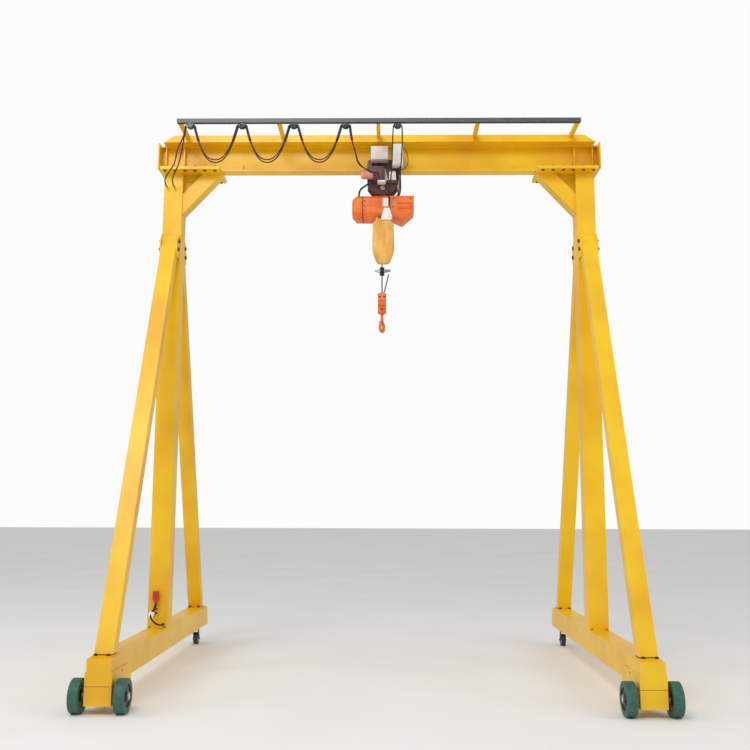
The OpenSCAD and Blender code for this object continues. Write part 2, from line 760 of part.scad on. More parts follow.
module trolley_plate(y) {
    half = plate_l / 2;
    outline = [[trolley_x - 70, plate_low], [trolley_x + 70, plate_low], [trolley_x + half, plate_low + 95],
        [trolley_x + half, plate_top - 20], [trolley_x + half - 20, plate_top],
        [trolley_x - half + 20, plate_top], [trolley_x - half, plate_top - 20],
        [trolley_x - half, plate_low + 95]];
    color(maroon) mirror([0, y < 0 ? 1 : 0, 0]) {
        difference() {
            xz_plate(outline, [plate_in, plate_out]);
            rod_y(trolley_x, [plate_in - over, plate_out + over], shaft_z, shaft_r + run_fit);
        }
        for (x = [-wheelbase, wheelbase]) {
            rod_y(trolley_x + x, [web_t / 2 + 20, plate_in + over], trolley_axle_z, trolley_axle_r);
            rod_y(trolley_x + x, [flange_w / 2 + 13, plate_in + over], trolley_axle_z, trolley_axle_r + 6);
        }
    }
}

// Flanged wheel on the girder's bottom flange
module trolley_wheel(x, y) {
    tread_in = web_t / 2 + 24;
    rim_in = flange_w / 2 + 1;
    hub_end = flange_w / 2 + 13 - gap;
    color(steel) translate([trolley_x + x * wheelbase, 0, trolley_axle_z]) rotate([y < 0 ? 90 : -90, 0, 0])
        rotate_extrude() polygon([[trolley_axle_r + run_fit, tread_in], [tread_r, tread_in],
            [tread_r, rim_in], [rim_r, rim_in + 1], [rim_r, hub_end], [trolley_axle_r + run_fit, hub_end]]);
}

// Shaft through both plates, with shoulders that centre the hoist's lug
module suspension_shaft() {
    color(steel) {
        rod_y(trolley_x, [-plate_out - 22, plate_out + 22], shaft_z, shaft_r);
        for (y = [-1, 1])
            mirror([0, y < 0 ? 1 : 0, 0]) {
                rod_y(trolley_x, [lug_w / 2 + gap, plate_in], shaft_z, shaft_r + 10);
                translate([trolley_x, plate_out, shaft_z]) rotate([-90, 0, 0])
                    cylinder(r = 1.7 * shaft_r, h = 16, $fn = 6);
            }
    }
}

// Gear case, motor and brake housing on the front plate
module trolley_drive() {
    color(pale) {
        slab([trolley_x - 93, trolley_x + 137], [-plate_out - 26, -plate_out],
            [girder_under - 146, girder_under - 5]);
        slab([trolley_x - 93, trolley_x + 20], [-plate_out - 115, -plate_out - 26],
            [girder_under - 146, girder_under - 5]);
        rod_x([trolley_x - 209, trolley_x - 93], -plate_out - 66, girder_under - 76, 48);
    }
    color(pale) {
        slab([trolley_x - 114, trolley_x + 51], [-plate_out - 110, -plate_out],
            [plate_top - 35, plate_top + 97]);
    }
}

module control_box() {
    color(pale) slab([trolley_x + 89, trolley_x + 195], [-plate_out - 115, -plate_out - 15],
        [girder_under + 4, girder_under + 217]);
    color(steel) slab([trolley_x + 95, trolley_x + 150], [-plate_out - 15, -plate_out],
        [girder_under + 10, girder_under + 95]);
}

// ---- Hoist ----

function casing_outline(h, d, bevel) =
    [[-d / 2 + bevel, 0], [d / 2 - bevel, 0], [d / 2, bevel], [d / 2, h - bevel / 2],
     [d / 2 - bevel / 2, h], [-d / 2 + bevel / 2, h], [-d / 2, h - bevel / 2], [-d / 2, bevel]];

module hoist_body() {
    color(casing) difference() {
        translate([0, 0, hoist_low]) yz_plate(casing_outline(hoist_h, hoist_d, hoist_bevel), body_x);
        translate([0, 0, hoist_low + 12])
            yz_plate(casing_outline(hoist_h - 24, hoist_d - 24, hoist_bevel - 6), [body_x[0] + 8, body_x[1] + over]);
        rod_z(chain_x, chain_y, [hoist_low - over, hoist_low + 13], chain_r + gap);
    }
}

// Motor end, tapered at its outer rim
module motor_cover() {
    rim = 45;
    color(casing) translate([0, 0, hoist_low]) hull() {
        yz_plate(casing_outline(hoist_h, hoist_d, hoist_bevel), [motor_x + rim, body_x[0]]);
        translate([0, 0, 40])
            yz_plate(casing_outline(hoist_h - 70, hoist_d - 60, hoist_bevel), [motor_x, motor_x + rim]);
    }
}

// Gear end, with its drop-nosed underside
module gear_cover() {
    low = hoist_low;
    color(casing) difference() {
        xz_plate([[body_x[1], hoist_top], [gear_x, hoist_top], [gear_x, low + 75],
            [trolley_x + 191, low - 22], [body_x[1] + 20, low + 20], [body_x[1], low + 20]],
            [-hoist_d / 2 + 8, hoist_d / 2 - 8]);
        xz_plate([[body_x[1] - over, hoist_top - 12], [gear_x - 12, hoist_top - 12], [gear_x - 12, low + 81],
            [trolley_x + 191, low - 6], [body_x[1] + 26, low + 32], [body_x[1] - over, low + 32]],
            [-hoist_d / 2 + 20, hoist_d / 2 - 20]);
    }
}

module hoist_lug() {
    color(steel) difference() {
        union() {
            slab([trolley_x - 70, trolley_x + 70], [-70, 70], [hoist_top, hoist_top + 14]);
            slab([trolley_x - 34, trolley_x + 34], [-lug_w / 2, lug_w / 2], [hoist_top + 14, shaft_z]);
            rod_y(trolley_x, [-lug_w / 2, lug_w / 2], shaft_z, shaft_r + 19);
        }
        rod_y(trolley_x, [-lug_w / 2 - over, lug_w / 2 + over], shaft_z, shaft_r + run_fit);
    }
}

// Soft bag, open at its top
module bag_outline(inset) {
    half = bag_w / 2 - inset;
    hull() {
        translate([-half, bag_h - 10]) square([2 * half, 10]);
        for (x = [-1, 1])
            translate([x * (half - 55), 55 + inset]) circle(r = 55);
    }
}
module chain_bag() {
    color(casing) difference() {
        translate([trolley_x + 6, bag_y[1], bag_low]) rotate([90, 0, 0])
            linear_extrude(bag_y[1] - bag_y[0]) bag_outline(0);
        translate([trolley_x + 6, bag_y[1] - bag_t, bag_low]) rotate([90, 0, 0])
            linear_extrude(bag_y[1] - bag_y[0] - 2 * bag_t) bag_outline(bag_t);
        slab([trolley_x - bag_w, trolley_x + bag_w], [bag_y[0] + bag_t, bag_y[1] - bag_t],
            [bag_top - 9, bag_top + over]);
    }
}

module load_chain() {
    color(dark) rod_z(chain_x, chain_y, [stop_low + stop_h + gap, chain_top], chain_r);
}

// Buffer clamped on the chain above the hook block
module chain_stop() {
    color(pale) slab([chain_x - 76, chain_x + 90], [chain_y - 24, chain_y + 24], [stop_low, stop_low + stop_h]);
}

module lower_chain() {
    color(dark) rod_z(chain_x, chain_y, [block_top, stop_low], chain_r);
}

module hook_block() {
    low = block_low;
    color(casing) difference() {
        xz_plate([[chain_x - 26, low], [chain_x + 26, low], [chain_x + 39, low + 30],
            [chain_x + 39, block_top - 40], [chain_x + 24, block_top], [chain_x - 24, block_top],
            [chain_x - 39, block_top - 40], [chain_x - 39, low + 30]], [chain_y - 32, chain_y + 32]);
        rod_z(chain_x, chain_y, [low - over, low + 40], shank_r + run_fit);
        rod_z(chain_x, chain_y, [low + 24, low + 40], shank_head_r + over);
    }
}

// Round-section hook: a bowl of 270 degrees, then a reverse bend up to the shank
module bend(centre_x, centre_z, from, sweep_by) {
    translate([centre_x, chain_y, centre_z]) rotate([90, 0, 0]) rotate([0, 0, from])
        rotate_extrude(angle = sweep_by) translate([hook_bend, 0]) circle(r = hook_r);
}
module swivelled() {
    translate([chain_x, chain_y, 0]) rotate([0, 0, hook_turn]) translate([-chain_x, -chain_y, 0]) children();
}

module hook() {
    neck_x = chain_x + hook_bend;
    neck_z = hook_z + 2 * hook_bend * sin(60);
    tip_x = chain_x + hook_bend * cos(150);
    tip_z = hook_z + hook_bend * sin(150);
    color(steel) swivelled() {
        bend(chain_x, hook_z, 150, 270);
        bend(neck_x, neck_z, 180, 60);
        translate([(chain_x + neck_x) / 2, chain_y, (hook_z + neck_z) / 2]) sphere(r = hook_r - 1);
        translate([tip_x, chain_y, tip_z]) sphere(r = hook_r - 1);
        rod_z(chain_x, chain_y, [neck_z - 4, block_low - 4], hook_r - 1);
        rod_z(chain_x, chain_y, [block_low - 5, block_low + 26], shank_r);
        rod_z(chain_x, chain_y, [block_low + 25, block_low + 25 + shank_head_t], shank_head_r);
        rod_y(latch_x, [chain_y - hook_r - 6, chain_y + hook_r + 6], latch_z, latch_pin_r);
    }
}

// Safety latch: two cheeks on the pin and a tongue across the hook's mouth
module hook_latch() {
    half = hook_r + 0.6;
    dx = latch_tip[0] - latch_x;
    dz = latch_tip[1] - latch_z;
    color(pale) swivelled() difference() {
        union() {
            for (y = [chain_y - half - 2.5, chain_y + half]) {
                rod_y(latch_x, [y, y + 2.5], latch_z, 7);
                xz_plate([[latch_x - 7, latch_z], [latch_x + 1, latch_z - 7],
                    [latch_x + dx + 2.5, latch_z + dz - 2], [latch_x + dx - 3, latch_z + dz + 2.5]],
                    [y, y + 2.5]);
            }
            xz_plate([[latch_x + 0.62 * dx - 2, latch_z + 0.62 * dz + 1.5],
                [latch_x + 0.62 * dx + 1, latch_z + 0.62 * dz - 1.5],
                [latch_x + dx + 2.5, latch_z + dz - 2], [latch_x + dx - 3, latch_z + dz + 2.5]],
                [chain_y - half - 1, chain_y + half + 1]);
        }
        rod_y(latch_x, [chain_y - 2 * half, chain_y + 2 * half], latch_z, latch_pin_r + run_fit);
    }
}

// ---- Supply cable on the left post ----

supply_r = 8;
supply_route = [[60, -114.5, 38], [60, -130, 38], [56, -148, 37], [36, -170, 38], [0, -178, 56],
    [-36, -170, 92], [-44, -158, 132], [-28, -146, 166], [-10, -140, 190], [-10, -140, 206],
    [-10, -140, 221.5]];
module supply_cable() {
    color(dark) translate([-span / 2, 0, base_top]) sweep(curve(supply_route, 3), supply_r, 10);
}

module supply_plug() {
    color([0.75, 0.10, 0.10]) translate([-span / 2 - 10, -140, base_top]) {
        rod_z(0, 0, [222, 240], 15);
        rod_z(0, 0, [240, 292], 26);
        rod_z(0, 0, [292, 298], 31);
        rod_z(0, 0, [298, 330], 24);
    }
}

leg(-1) base_beam();  // left_base_beam
leg(-1) wheel_box();  // left_wheel_box
leg(-1) front_axle();  // left_front_axle
leg(-1) front_wheel(wheel_x);  // left_outer_wheel
leg(-1) front_wheel(-wheel_x);  // left_inner_wheel
leg(-1) caster_fork();  // left_caster_fork
leg(-1) caster_wheel();  // left_caster_wheel
leg(-1) {  // left_post
    post();
    left_post_fittings();
}
leg(-1) strut(-1);  // left_front_strut
leg(-1) strut(1);  // left_rear_strut
leg(-1) strut_bolts();  // left_strut_bolts
leg(-1) knee_brace();  // left_knee_brace
leg(-1) head_bolts();  // left_head_bolts
leg(1) base_beam();  // right_base_beam
leg(1) wheel_box();  // right_wheel_box
leg(1) front_axle();  // right_front_axle
leg(1) front_wheel(wheel_x);  // right_outer_wheel
leg(1) front_wheel(-wheel_x);  // right_inner_wheel
leg(1) caster_fork();  // right_caster_fork
leg(1) caster_wheel();  // right_caster_wheel
leg(1) post();  // right_post
leg(1) strut(-1);  // right_front_strut
leg(1) strut(1);  // right_rear_strut
leg(1) strut_bolts();  // right_strut_bolts
leg(1) knee_brace();  // right_knee_brace
leg(1) head_bolts();  // right_head_bolts
girder_beam();
girder_cap();
end_stops();
cable_rail();
rail_arms();
carrier(1);  // cable_carrier_1
carrier(2);  // cable_carrier_2
carrier(3);  // cable_carrier_3
carrier(4);  // tow_carrier
festoon_cable();
feed_cable();
trolley_cable();
trolley_plate(-1);  // trolley_front_plate
trolley_plate(1);  // trolley_rear_plate
trolley_wheel(-1, -1);  // trolley_wheel_1
trolley_wheel(1, -1);  // trolley_wheel_2
trolley_wheel(-1, 1);  // trolley_wheel_3
trolley_wheel(1, 1);  // trolley_wheel_4
suspension_shaft();
trolley_drive();
control_box();
hoist_body();
motor_cover();
gear_cover();
hoist_lug();
chain_bag();
load_chain();
chain_stop();
lower_chain();
hook_block();
hook();
hook_latch();
supply_cable();
supply_plug();
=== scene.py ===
# %% [markdown]
# # A portable gantry crane
# The crane's steelwork is already designed to size: it comes in as the frame, with every post, beam, bolt and
# pulley in its place. This lesson gives it its looks. Pieces whose outline is right get softened edges and a
# finish. The wheels, cables, chain, hoist covers and the chain bag are modelled anew around the frame.

# %% Load the frame
import math
import bmesh
import bpy
from mathutils import Matrix, Vector, noise


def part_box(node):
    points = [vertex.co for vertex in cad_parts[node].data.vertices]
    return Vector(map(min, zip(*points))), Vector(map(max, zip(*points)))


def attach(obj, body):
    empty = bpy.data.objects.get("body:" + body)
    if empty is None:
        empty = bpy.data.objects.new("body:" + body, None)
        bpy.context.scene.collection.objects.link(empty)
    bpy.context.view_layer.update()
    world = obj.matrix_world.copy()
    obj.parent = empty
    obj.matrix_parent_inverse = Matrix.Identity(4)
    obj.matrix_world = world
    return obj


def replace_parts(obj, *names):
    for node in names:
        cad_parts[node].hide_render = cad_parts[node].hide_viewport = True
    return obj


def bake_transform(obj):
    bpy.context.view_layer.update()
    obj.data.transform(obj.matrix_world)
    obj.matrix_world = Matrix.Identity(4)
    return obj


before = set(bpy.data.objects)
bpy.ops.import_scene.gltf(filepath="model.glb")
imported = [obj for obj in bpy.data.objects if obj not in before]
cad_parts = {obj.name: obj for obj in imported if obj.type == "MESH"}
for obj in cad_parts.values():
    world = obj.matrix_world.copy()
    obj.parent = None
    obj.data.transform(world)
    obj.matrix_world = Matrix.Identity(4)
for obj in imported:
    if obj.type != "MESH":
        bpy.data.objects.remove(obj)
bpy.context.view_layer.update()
MM = 0.001

# %% [markdown]
# ## Camera
# The crane is seen from eye level, a little right of the middle and about eight and a half metres away, so the
# beam shows its underside and the base beams run towards a point low in the picture. The lens is set first,
# because a free cable may not spread outside what the camera sees.

# %% Camera at eye level
EYE = Vector((0.0895, -8.4803, 1.5017))
LOOK_LEFT, LOOK_UP, TILT = 0.0141, 0.1441, 0.0033


def add_camera():
    data = bpy.data.cameras.new("eye")
    data.lens, data.sensor_width = 43.2, 36
    data.clip_end = 60
    camera = bpy.data.objects.new("eye", data)
    bpy.context.scene.collection.objects.link(camera)
    turn = Matrix.Rotation(LOOK_LEFT, 4, "Z") @ Matrix.Rotation(math.pi / 2 + LOOK_UP, 4, "X")
    camera.matrix_world = Matrix.Translation(EYE) @ turn @ Matrix.Rotation(TILT, 4, "Z")
    bpy.context.scene.camera = camera


add_camera()

# %% [markdown]
# ## A small set of tools
# Everything below is made the way it would be by hand: a primitive goes in at its size and place, edit mode
# shapes it, and its place is applied so that the object itself stays at the origin. These helpers only save
# typing: one picks an object, one picks faces or edges by a rule, and two add a block or a round bar.

# %% Picking and editing
def only(*objects):
    if bpy.context.mode != "OBJECT":
        bpy.ops.object.mode_set(mode="OBJECT")
    bpy.ops.object.select_all(action="DESELECT")
    for piece in objects:
        piece.select_set(True)
    bpy.context.view_layer.objects.active = objects[0]


def edit(piece, faces=None, edges=None):
    """Enters edit mode with only the faces or the edges that pass the rule selected."""
    only(piece)
    bpy.ops.object.mode_set(mode="EDIT")
    bpy.ops.mesh.select_all(action="DESELECT")
    bpy.ops.mesh.select_mode(type="EDGE" if edges else "FACE")
    shape = bmesh.from_edit_mesh(piece.data)
    for item in shape.edges if edges else shape.faces:
        item.select_set(bool((edges or faces)(item)))
    shape.select_flush_mode()
    bmesh.update_edit_mesh(piece.data)
    return shape


def done():
    bpy.ops.object.mode_set(mode="OBJECT")


def settle(piece, name):
    """Names a new primitive and applies its place, so that the object stays at the origin."""
    done() if bpy.context.mode != "OBJECT" else None
    piece.name = piece.data.name = name
    only(piece)
    bpy.ops.object.transform_apply(location=True, rotation=True, scale=True)
    return piece


def block(name, low, high):
    low, high = Vector(low), Vector(high)
    bpy.ops.mesh.primitive_cube_add(size=1, location=(low + high) / 2)
    piece = bpy.context.object
    piece.scale = high - low
    return settle(piece, name)


def bar(name, start, end, radius, sides=32, tip=None):
    start, end = Vector(start), Vector(end)
    way = end - start
    bpy.ops.mesh.primitive_cone_add(vertices=sides, radius1=radius, radius2=radius if tip is None else tip,
                                    depth=way.length, location=(start + end) / 2,
                                    rotation=way.to_track_quat("Z", "Y").to_euler())
    return settle(bpy.context.object, name)


def soften(piece, width, segments=3, turn=35, longer=0.0):
    """Rounds the edges that turn by more than an angle and are longer than a length."""
    sharp = math.radians(turn)

    def rule(edge):
        angle = edge.calc_face_angle(0)
        return angle > sharp and edge.calc_length() > longer
    edit(piece, edges=rule)
    bpy.ops.mesh.bevel(offset=width, segments=segments, affect="EDGES", clamp_overlap=longer == 0)
    done()
    return piece


def smooth(piece, turn=32):
    only(piece)
    bpy.ops.object.shade_smooth_by_angle(angle=math.radians(turn))
    return piece


def join(name, pieces):
    only(*pieces)
    bpy.ops.object.join()
    piece = bpy.context.object
    piece.name = piece.data.name = name
    return piece


def from_shape(name, shape):
    """An object from a mesh that was built point by point."""
    data = bpy.data.meshes.new(name)
    shape.to_mesh(data)
    shape.free()
    piece = bpy.data.objects.new(name, data)
    bpy.context.scene.collection.objects.link(piece)
    return piece


def shift(piece, by):
    piece.data.transform(Matrix.Translation(by))
    return piece


def push_in(piece, along, steps):
    """Insets the faces that look along a direction, then extrudes them by a depth, for each step."""
    along = Vector(along)
    edit(piece, faces=lambda face: face.normal.dot(along) > 0.98)
    for inset, depth in steps:
        bpy.ops.mesh.inset(thickness=inset, depth=0)
        if depth:
            bpy.ops.mesh.extrude_region_move(TRANSFORM_OT_translate={"value": along * depth})
    done()
    return piece


# %% [markdown]
# ## Finishes
# Each finish starts from the real material and how its surface was made. One function turns a colour chosen on
# the screen into the linear colour that the shader needs, and one adds a node with its settings and its links.

# %% Node and colour helpers
def linear(code):
    parts = [int(code[i:i + 2], 16) / 255 for i in (1, 3, 5)]
    return [c / 12.92 if c < 0.04045 else ((c + 0.055) / 1.055) ** 2.4 for c in parts] + [1]


def add(material, kind, links=(), **settings):
    tree = material.node_tree
    made = tree.nodes.new("ShaderNode" + kind)
    for key, value in settings.items():
        if key in made.inputs:
            made.inputs[key].default_value = value
        else:
            setattr(made, key, value)
    for socket, source in dict(links).items():
        tree.links.new(source, made.inputs[socket])
    return made


def start(name, **settings):
    material = bpy.data.materials.new(name)
    material.use_nodes = True
    shader = material.node_tree.nodes["Principled BSDF"]
    for key, value in settings.items():
        shader.inputs[key.replace("_", " ")].default_value = value
    return material, shader


def ramp(material, source, stops):
    made = add(material, "ValToRGB", {"Fac": source})
    while len(made.color_ramp.elements) < len(stops):
        made.color_ramp.elements.new(0.5)
    for element, (place, colour) in zip(made.color_ramp.elements, stops):
        element.position = place
        element.color = colour if isinstance(colour, list) else (colour, colour, colour, 1)
    return made.outputs["Color"]


def grain(material, size, detail=3.0, stretch=(1, 1, 1), rough=0.5):
    """Noise with features of about that size in metres, on the piece's own coordinates."""
    place = add(material, "TexCoord").outputs["Object"]
    fitted = add(material, "Mapping", {"Vector": place}, Scale=stretch).outputs["Vector"]
    made = add(material, "TexNoise", {"Vector": fitted}, Scale=1 / size, Detail=detail, Roughness=rough)
    return made.outputs["Fac"]


def bump(material, shader, heights, strength, distance):
    made = add(material, "Bump", {"Height": heights}, Strength=strength, Distance=distance)
    material.node_tree.links.new(made.outputs["Normal"], shader.inputs["Normal"])


def feed(material, shader, socket, source):
    material.node_tree.links.new(source, shader.inputs[socket])


# %% [markdown]
# ### Sprayed alkyd enamel on steel
# Workshop cranes are sprayed with a thick yellow alkyd enamel. It is glossy but never flat: it shows an
# orange-peel ripple of a few millimetres, drifts a little in colour, and gathers dust and scuffs. So the colour
# moves between near yellows in broad patches, the roughness follows smaller ones, and a fine ripple bumps it.

# %% Enamel
def enamel(name, light, deep, scuff, gloss=0.32, dust=0.25):
    material, shader = start(name, Roughness=gloss, Coat_Weight=0.12, Coat_Roughness=0.15)
    patches = grain(material, 0.55, detail=5)
    tone = ramp(material, patches, [(0.35, linear(deep)), (0.62, linear(light))])
    marks = ramp(material, grain(material, 0.035, detail=8, rough=0.7), [(0.66, 0.0), (0.74, 1.0)])
    where = ramp(material, grain(material, 0.3, detail=2), [(0.5, 0.0), (0.7, dust)])
    mask = add(material, "Math", {0: marks, 1: where}, operation="MULTIPLY").outputs[0]
    mixed = add(material, "Mix", {"Factor": mask}, data_type="RGBA")
    material.node_tree.links.new(tone, mixed.inputs["A"])
    mixed.inputs["B"].default_value = linear(scuff)
    feed(material, shader, "Base Color", mixed.outputs["Result"])
    shine = ramp(material, grain(material, 0.02, detail=4), [(0.3, gloss - 0.06), (0.7, gloss + 0.12)])
    feed(material, shader, "Roughness", shine)
    bump(material, shader, grain(material, 0.004, detail=2), 0.12, 0.0006)
    return material


YELLOW = enamel("sprayed_yellow_alkyd_enamel", "#F8C808", "#EBB004", "#B57C0C", gloss=0.38)
MAROON = enamel("sprayed_maroon_alkyd_enamel", "#5E2F33", "#4A2529", "#8A6A62", gloss=0.4)
print("enamels made:", YELLOW.name, MAROON.name)

# %% [markdown]
# ### Powder coat on the hoist's castings and on the electrical boxes
# The hoist's aluminium castings are powder coated: the powder melts to a satin skin with a fine leathery
# texture. The boxes on the trolley have the same coat in a warm white, and the small drive motor in salmon.
# A shallow, fine bump and a satin roughness with a little dust give that skin.

# %% Powder coat
def powder(name, light, deep, gloss=0.42):
    material, shader = start(name, Roughness=gloss)
    feed(material, shader, "Base Color",
         ramp(material, grain(material, 0.12, detail=6), [(0.36, linear(deep)), (0.6, linear(light))]))
    feed(material, shader, "Roughness",
         ramp(material, grain(material, 0.03, detail=3), [(0.3, gloss - 0.08), (0.7, gloss + 0.12)]))
    bump(material, shader, grain(material, 0.0025, detail=2), 0.16, 0.0005)
    return material


ORANGE = powder("orange_powder_coated_casting", "#F37D31", "#E2601C")
PALE = powder("warm_white_powder_coat", "#F3EBE6", "#E2D3CC")
SALMON = powder("salmon_powder_coated_motor", "#EFA99B", "#D98577")
GREY = powder("light_grey_powder_coat", "#B4B6B8", "#9C9EA1")

# %% [markdown]
# ### Bare and plated metals
# Axles and small screws are zinc plated, the cable rail is rolled from galvanised strip, the trolley's wheels are
# turned, and the load chain is case hardened, which leaves it nearly black. All are metals, told apart by their
# colour, by how rough they are, and by the pattern that the process leaves: the spangle of hot-dip zinc, or
# the fine rings of a lathe.

# %% Metals
def metal(name, light, deep, gloss, size=0.02, stretch=(1, 1, 1), height=0.0002):
    material, shader = start(name, Metallic=1.0, Roughness=gloss)
    patches = grain(material, size, detail=6, stretch=stretch)
    feed(material, shader, "Base Color", ramp(material, patches, [(0.3, linear(deep)), (0.66, linear(light))]))
    shine = grain(material, size * 0.4, detail=4, stretch=stretch)
    feed(material, shader, "Roughness", ramp(material, shine, [(0.3, gloss - 0.1), (0.7, gloss + 0.12)]))
    bump(material, shader, grain(material, size * 0.15, detail=2, stretch=stretch), 0.2, height)
    return material


ZINC = metal("zinc_plated_steel", "#C9CCCE", "#9FA3A6", 0.36)
TURNED = metal("turned_steel", "#D2CFCB", "#A7A39F", 0.3, stretch=(1, 14, 1))
CHAIN_STEEL = metal("case_hardened_chain_steel", "#2B2B2E", "#161618", 0.42, size=0.008)
DARK_STEEL = metal("blackened_steel", "#55565A", "#333438", 0.45)


def galvanised(name):
    material, shader = start(name, Metallic=0.55, Roughness=0.5)
    place = add(material, "TexCoord").outputs["Object"]
    # A spangle is about 8 mm across
    flakes = add(material, "TexVoronoi", {"Vector": place}, Scale=125.0, feature="F1").outputs["Color"]
    tone = add(material, "SeparateColor", {"Color": flakes}).outputs["Red"]
    feed(material, shader, "Base Color",
         ramp(material, tone, [(0.0, linear("#505357")), (1.0, linear("#686B6F"))]))
    feed(material, shader, "Roughness", ramp(material, tone, [(0.0, 0.38), (1.0, 0.56)]))
    bump(material, shader, grain(material, 0.006, detail=3), 0.1, 0.0003)
    return material


GALVANISED = galvanised("hot_dip_galvanised_strip")

# %% [markdown]
# ### Rubber, polyurethane, plastic and cable sheath
# The tyres are cast polyurethane in grey green, matt and a little dusty where they roll. The cables have a
# rubber sheath that shines softly along its top, the hubs are black painted iron, and the supply plug is
# moulded in red polyamide with the faint grain of its mould. The frame's bolts wear a dull red oxide primer,
# which reads as small dark dots along the plates. The same dark red is also used for painted shade, in thin
# bands at the joints of the feet.

# %% Matt finishes
def moulded(name, light, deep, gloss, size=0.03, fine=0.002, height=0.0003, dust=None):
    material, shader = start(name, Roughness=gloss)
    tone = ramp(material, grain(material, size, detail=6), [(0.34, linear(deep)), (0.62, linear(light))])
    if dust:
        spots = ramp(material, grain(material, size * 0.6, detail=8, rough=0.65), [(0.55, 0.0), (0.75, 0.45)])
        mixed = add(material, "Mix", {"Factor": spots}, data_type="RGBA")
        material.node_tree.links.new(tone, mixed.inputs["A"])
        mixed.inputs["B"].default_value = linear(dust)
        tone = mixed.outputs["Result"]
    feed(material, shader, "Base Color", tone)
    feed(material, shader, "Roughness",
         ramp(material, grain(material, size * 0.3), [(0.3, gloss - 0.08), (0.7, gloss + 0.1)]))
    bump(material, shader, grain(material, fine, detail=2), 0.25, height)
    return material


TYRE = moulded("cast_polyurethane_tyre", "#33665A", "#28524A", 0.5, dust="#6F8078")
BLACK_TYRE = moulded("black_rubber_tyre", "#3A3C3D", "#2A2B2C", 0.6, dust="#77746E")
HUB = moulded("black_painted_cast_iron", "#1E1F21", "#141517", 0.42)
SHEATH = moulded("red_brown_rubber_cable_sheath", "#4A2318", "#2C130E", 0.42)
BLACK_SHEATH = moulded("black_rubber_cable_sheath", "#232225", "#171618", 0.42)
SLEEVE = moulded("black_heat_shrink_sleeve", "#2C2C2F", "#1C1C1E", 0.5, fine=0.006, height=0.001)
RED = moulded("red_moulded_polyamide", "#D23A30", "#B02A24", 0.38)
CARD = moulded("white_plastic_tag", "#F4F3F0", "#E6E4E0", 0.5)
BUFFER = moulded("black_rubber_buffer", "#252527", "#18181A", 0.62)
# This dark red also paints the shade bands at the feet of the struts and in the wheel box seams
BOLT_OXIDE_AND_SHADE = moulded("red_oxide_bolts_and_painted_shade", "#7A2E20", "#511B14", 0.55, size=0.012)
print("materials:", len(bpy.data.materials))

# %% [markdown]
# ### Coated canvas
# The chain bag is sewn from canvas with a thick orange-yellow PVC coat. The weave is far too fine to see from
# here, so it is drawn about four millimetres wide, with soft sheen and long stains from the oiled chain.

# %% Canvas
def canvas(name):
    material, shader = start(name, Roughness=0.55, Sheen_Weight=0.25)
    place = add(material, "TexCoord").outputs["Object"]
    bands = [add(material, "TexWave", {"Vector": place}, Scale=40.0, Distortion=0.6, bands_direction=way,
                 **{"Detail Scale": 2.0}).outputs["Fac"] for way in ("X", "Z")]
    weave = add(material, "Math", {0: bands[0], 1: bands[1]}, operation="ADD").outputs[0]
    tone = ramp(material, grain(material, 0.09, detail=7, stretch=(1, 1, 0.35)),
                [(0.33, linear("#D8953A")), (0.62, linear("#F4BC58"))])
    feed(material, shader, "Base Color", tone)
    bump(material, shader, weave, 0.22, 0.0006)
    return material


CANVAS = canvas("pvc_coated_canvas")

# %% [markdown]
# ## Finishes on the frame
# The steelwork keeps its exact shape from the design, so it only needs its finish. Each rule below names a
# part of a node's name and the finish that such a piece has on a real crane.

# %% Finish every node
RULES = [("bolts", BOLT_OXIDE_AND_SHADE), ("axle", ZINC), ("cable_rail", GALVANISED), ("carrier", DARK_STEEL), ("shaft", ZINC),
         ("caster_fork", DARK_STEEL), ("end_stops", YELLOW), ("trolley_wheel", TURNED), ("plate", MAROON),
         ("trolley_drive", PALE), ("control_box", PALE), ("hoist_lug", ORANGE), ("hook_latch", ZINC),
         ("hook", ORANGE), ("hoist", ORANGE), ("motor", ORANGE), ("gear", ORANGE), ("caster_wheel", BLACK_TYRE),
         ("wheel_box", YELLOW), ("wheel", TYRE), ("chain_bag", CANVAS), ("chain", CHAIN_STEEL),
         ("supply_plug", RED), ("cable", BLACK_SHEATH)]


def finish_of(name):
    for part, material in RULES:
        if part in name:
            return material
    return YELLOW


for name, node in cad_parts.items():
    for i in range(max(1, len(node.data.materials))):
        if node.data.materials:
            node.data.materials[i] = finish_of(name)
        else:
            node.data.materials.append(finish_of(name))


def fit(piece, material, body, slot, *nodes):
    """Gives a finished piece its material and its body, and hides the nodes that it stands for. Its slot is not
    used.
    """
    if material:
        piece.data.materials.clear()
        piece.data.materials.append(material)
    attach(piece, body)
    if nodes:
        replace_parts(piece, *nodes)
    return piece


print("finished", len(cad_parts), "nodes")

# %% [markdown]
# ## The supply cable and its plug
# A short thick lead leaves a gland on the left post, droops, and turns up to a red plug that is parked on a
# rest. A cable that thick keeps wide bends, so its route is a smooth curve through a few chosen points. It is
# one round tube along that route, with a tapered boot where it leaves the gland. A thin cable is wound round
# it below the plug, and a white tag hangs on it.

# %% A cable along a route
def through(points, steps):
    """The points of a smooth curve that passes through each given point."""
    points = [Vector(p) for p in points]
    found = []
    for i in range(len(points) - 1):
        a, b, c, d = (points[max(i - 1, 0)], points[i], points[i + 1], points[min(i + 2, len(points) - 1)])
        for t in (s / steps for s in range(steps)):
            found.append(0.5 * (2 * b + (c - a) * t + (2 * a - 5 * b + 4 * c - d) * t ** 2
                                + (3 * b - a - 3 * c + d) * t ** 3))
    return found + [points[-1]]


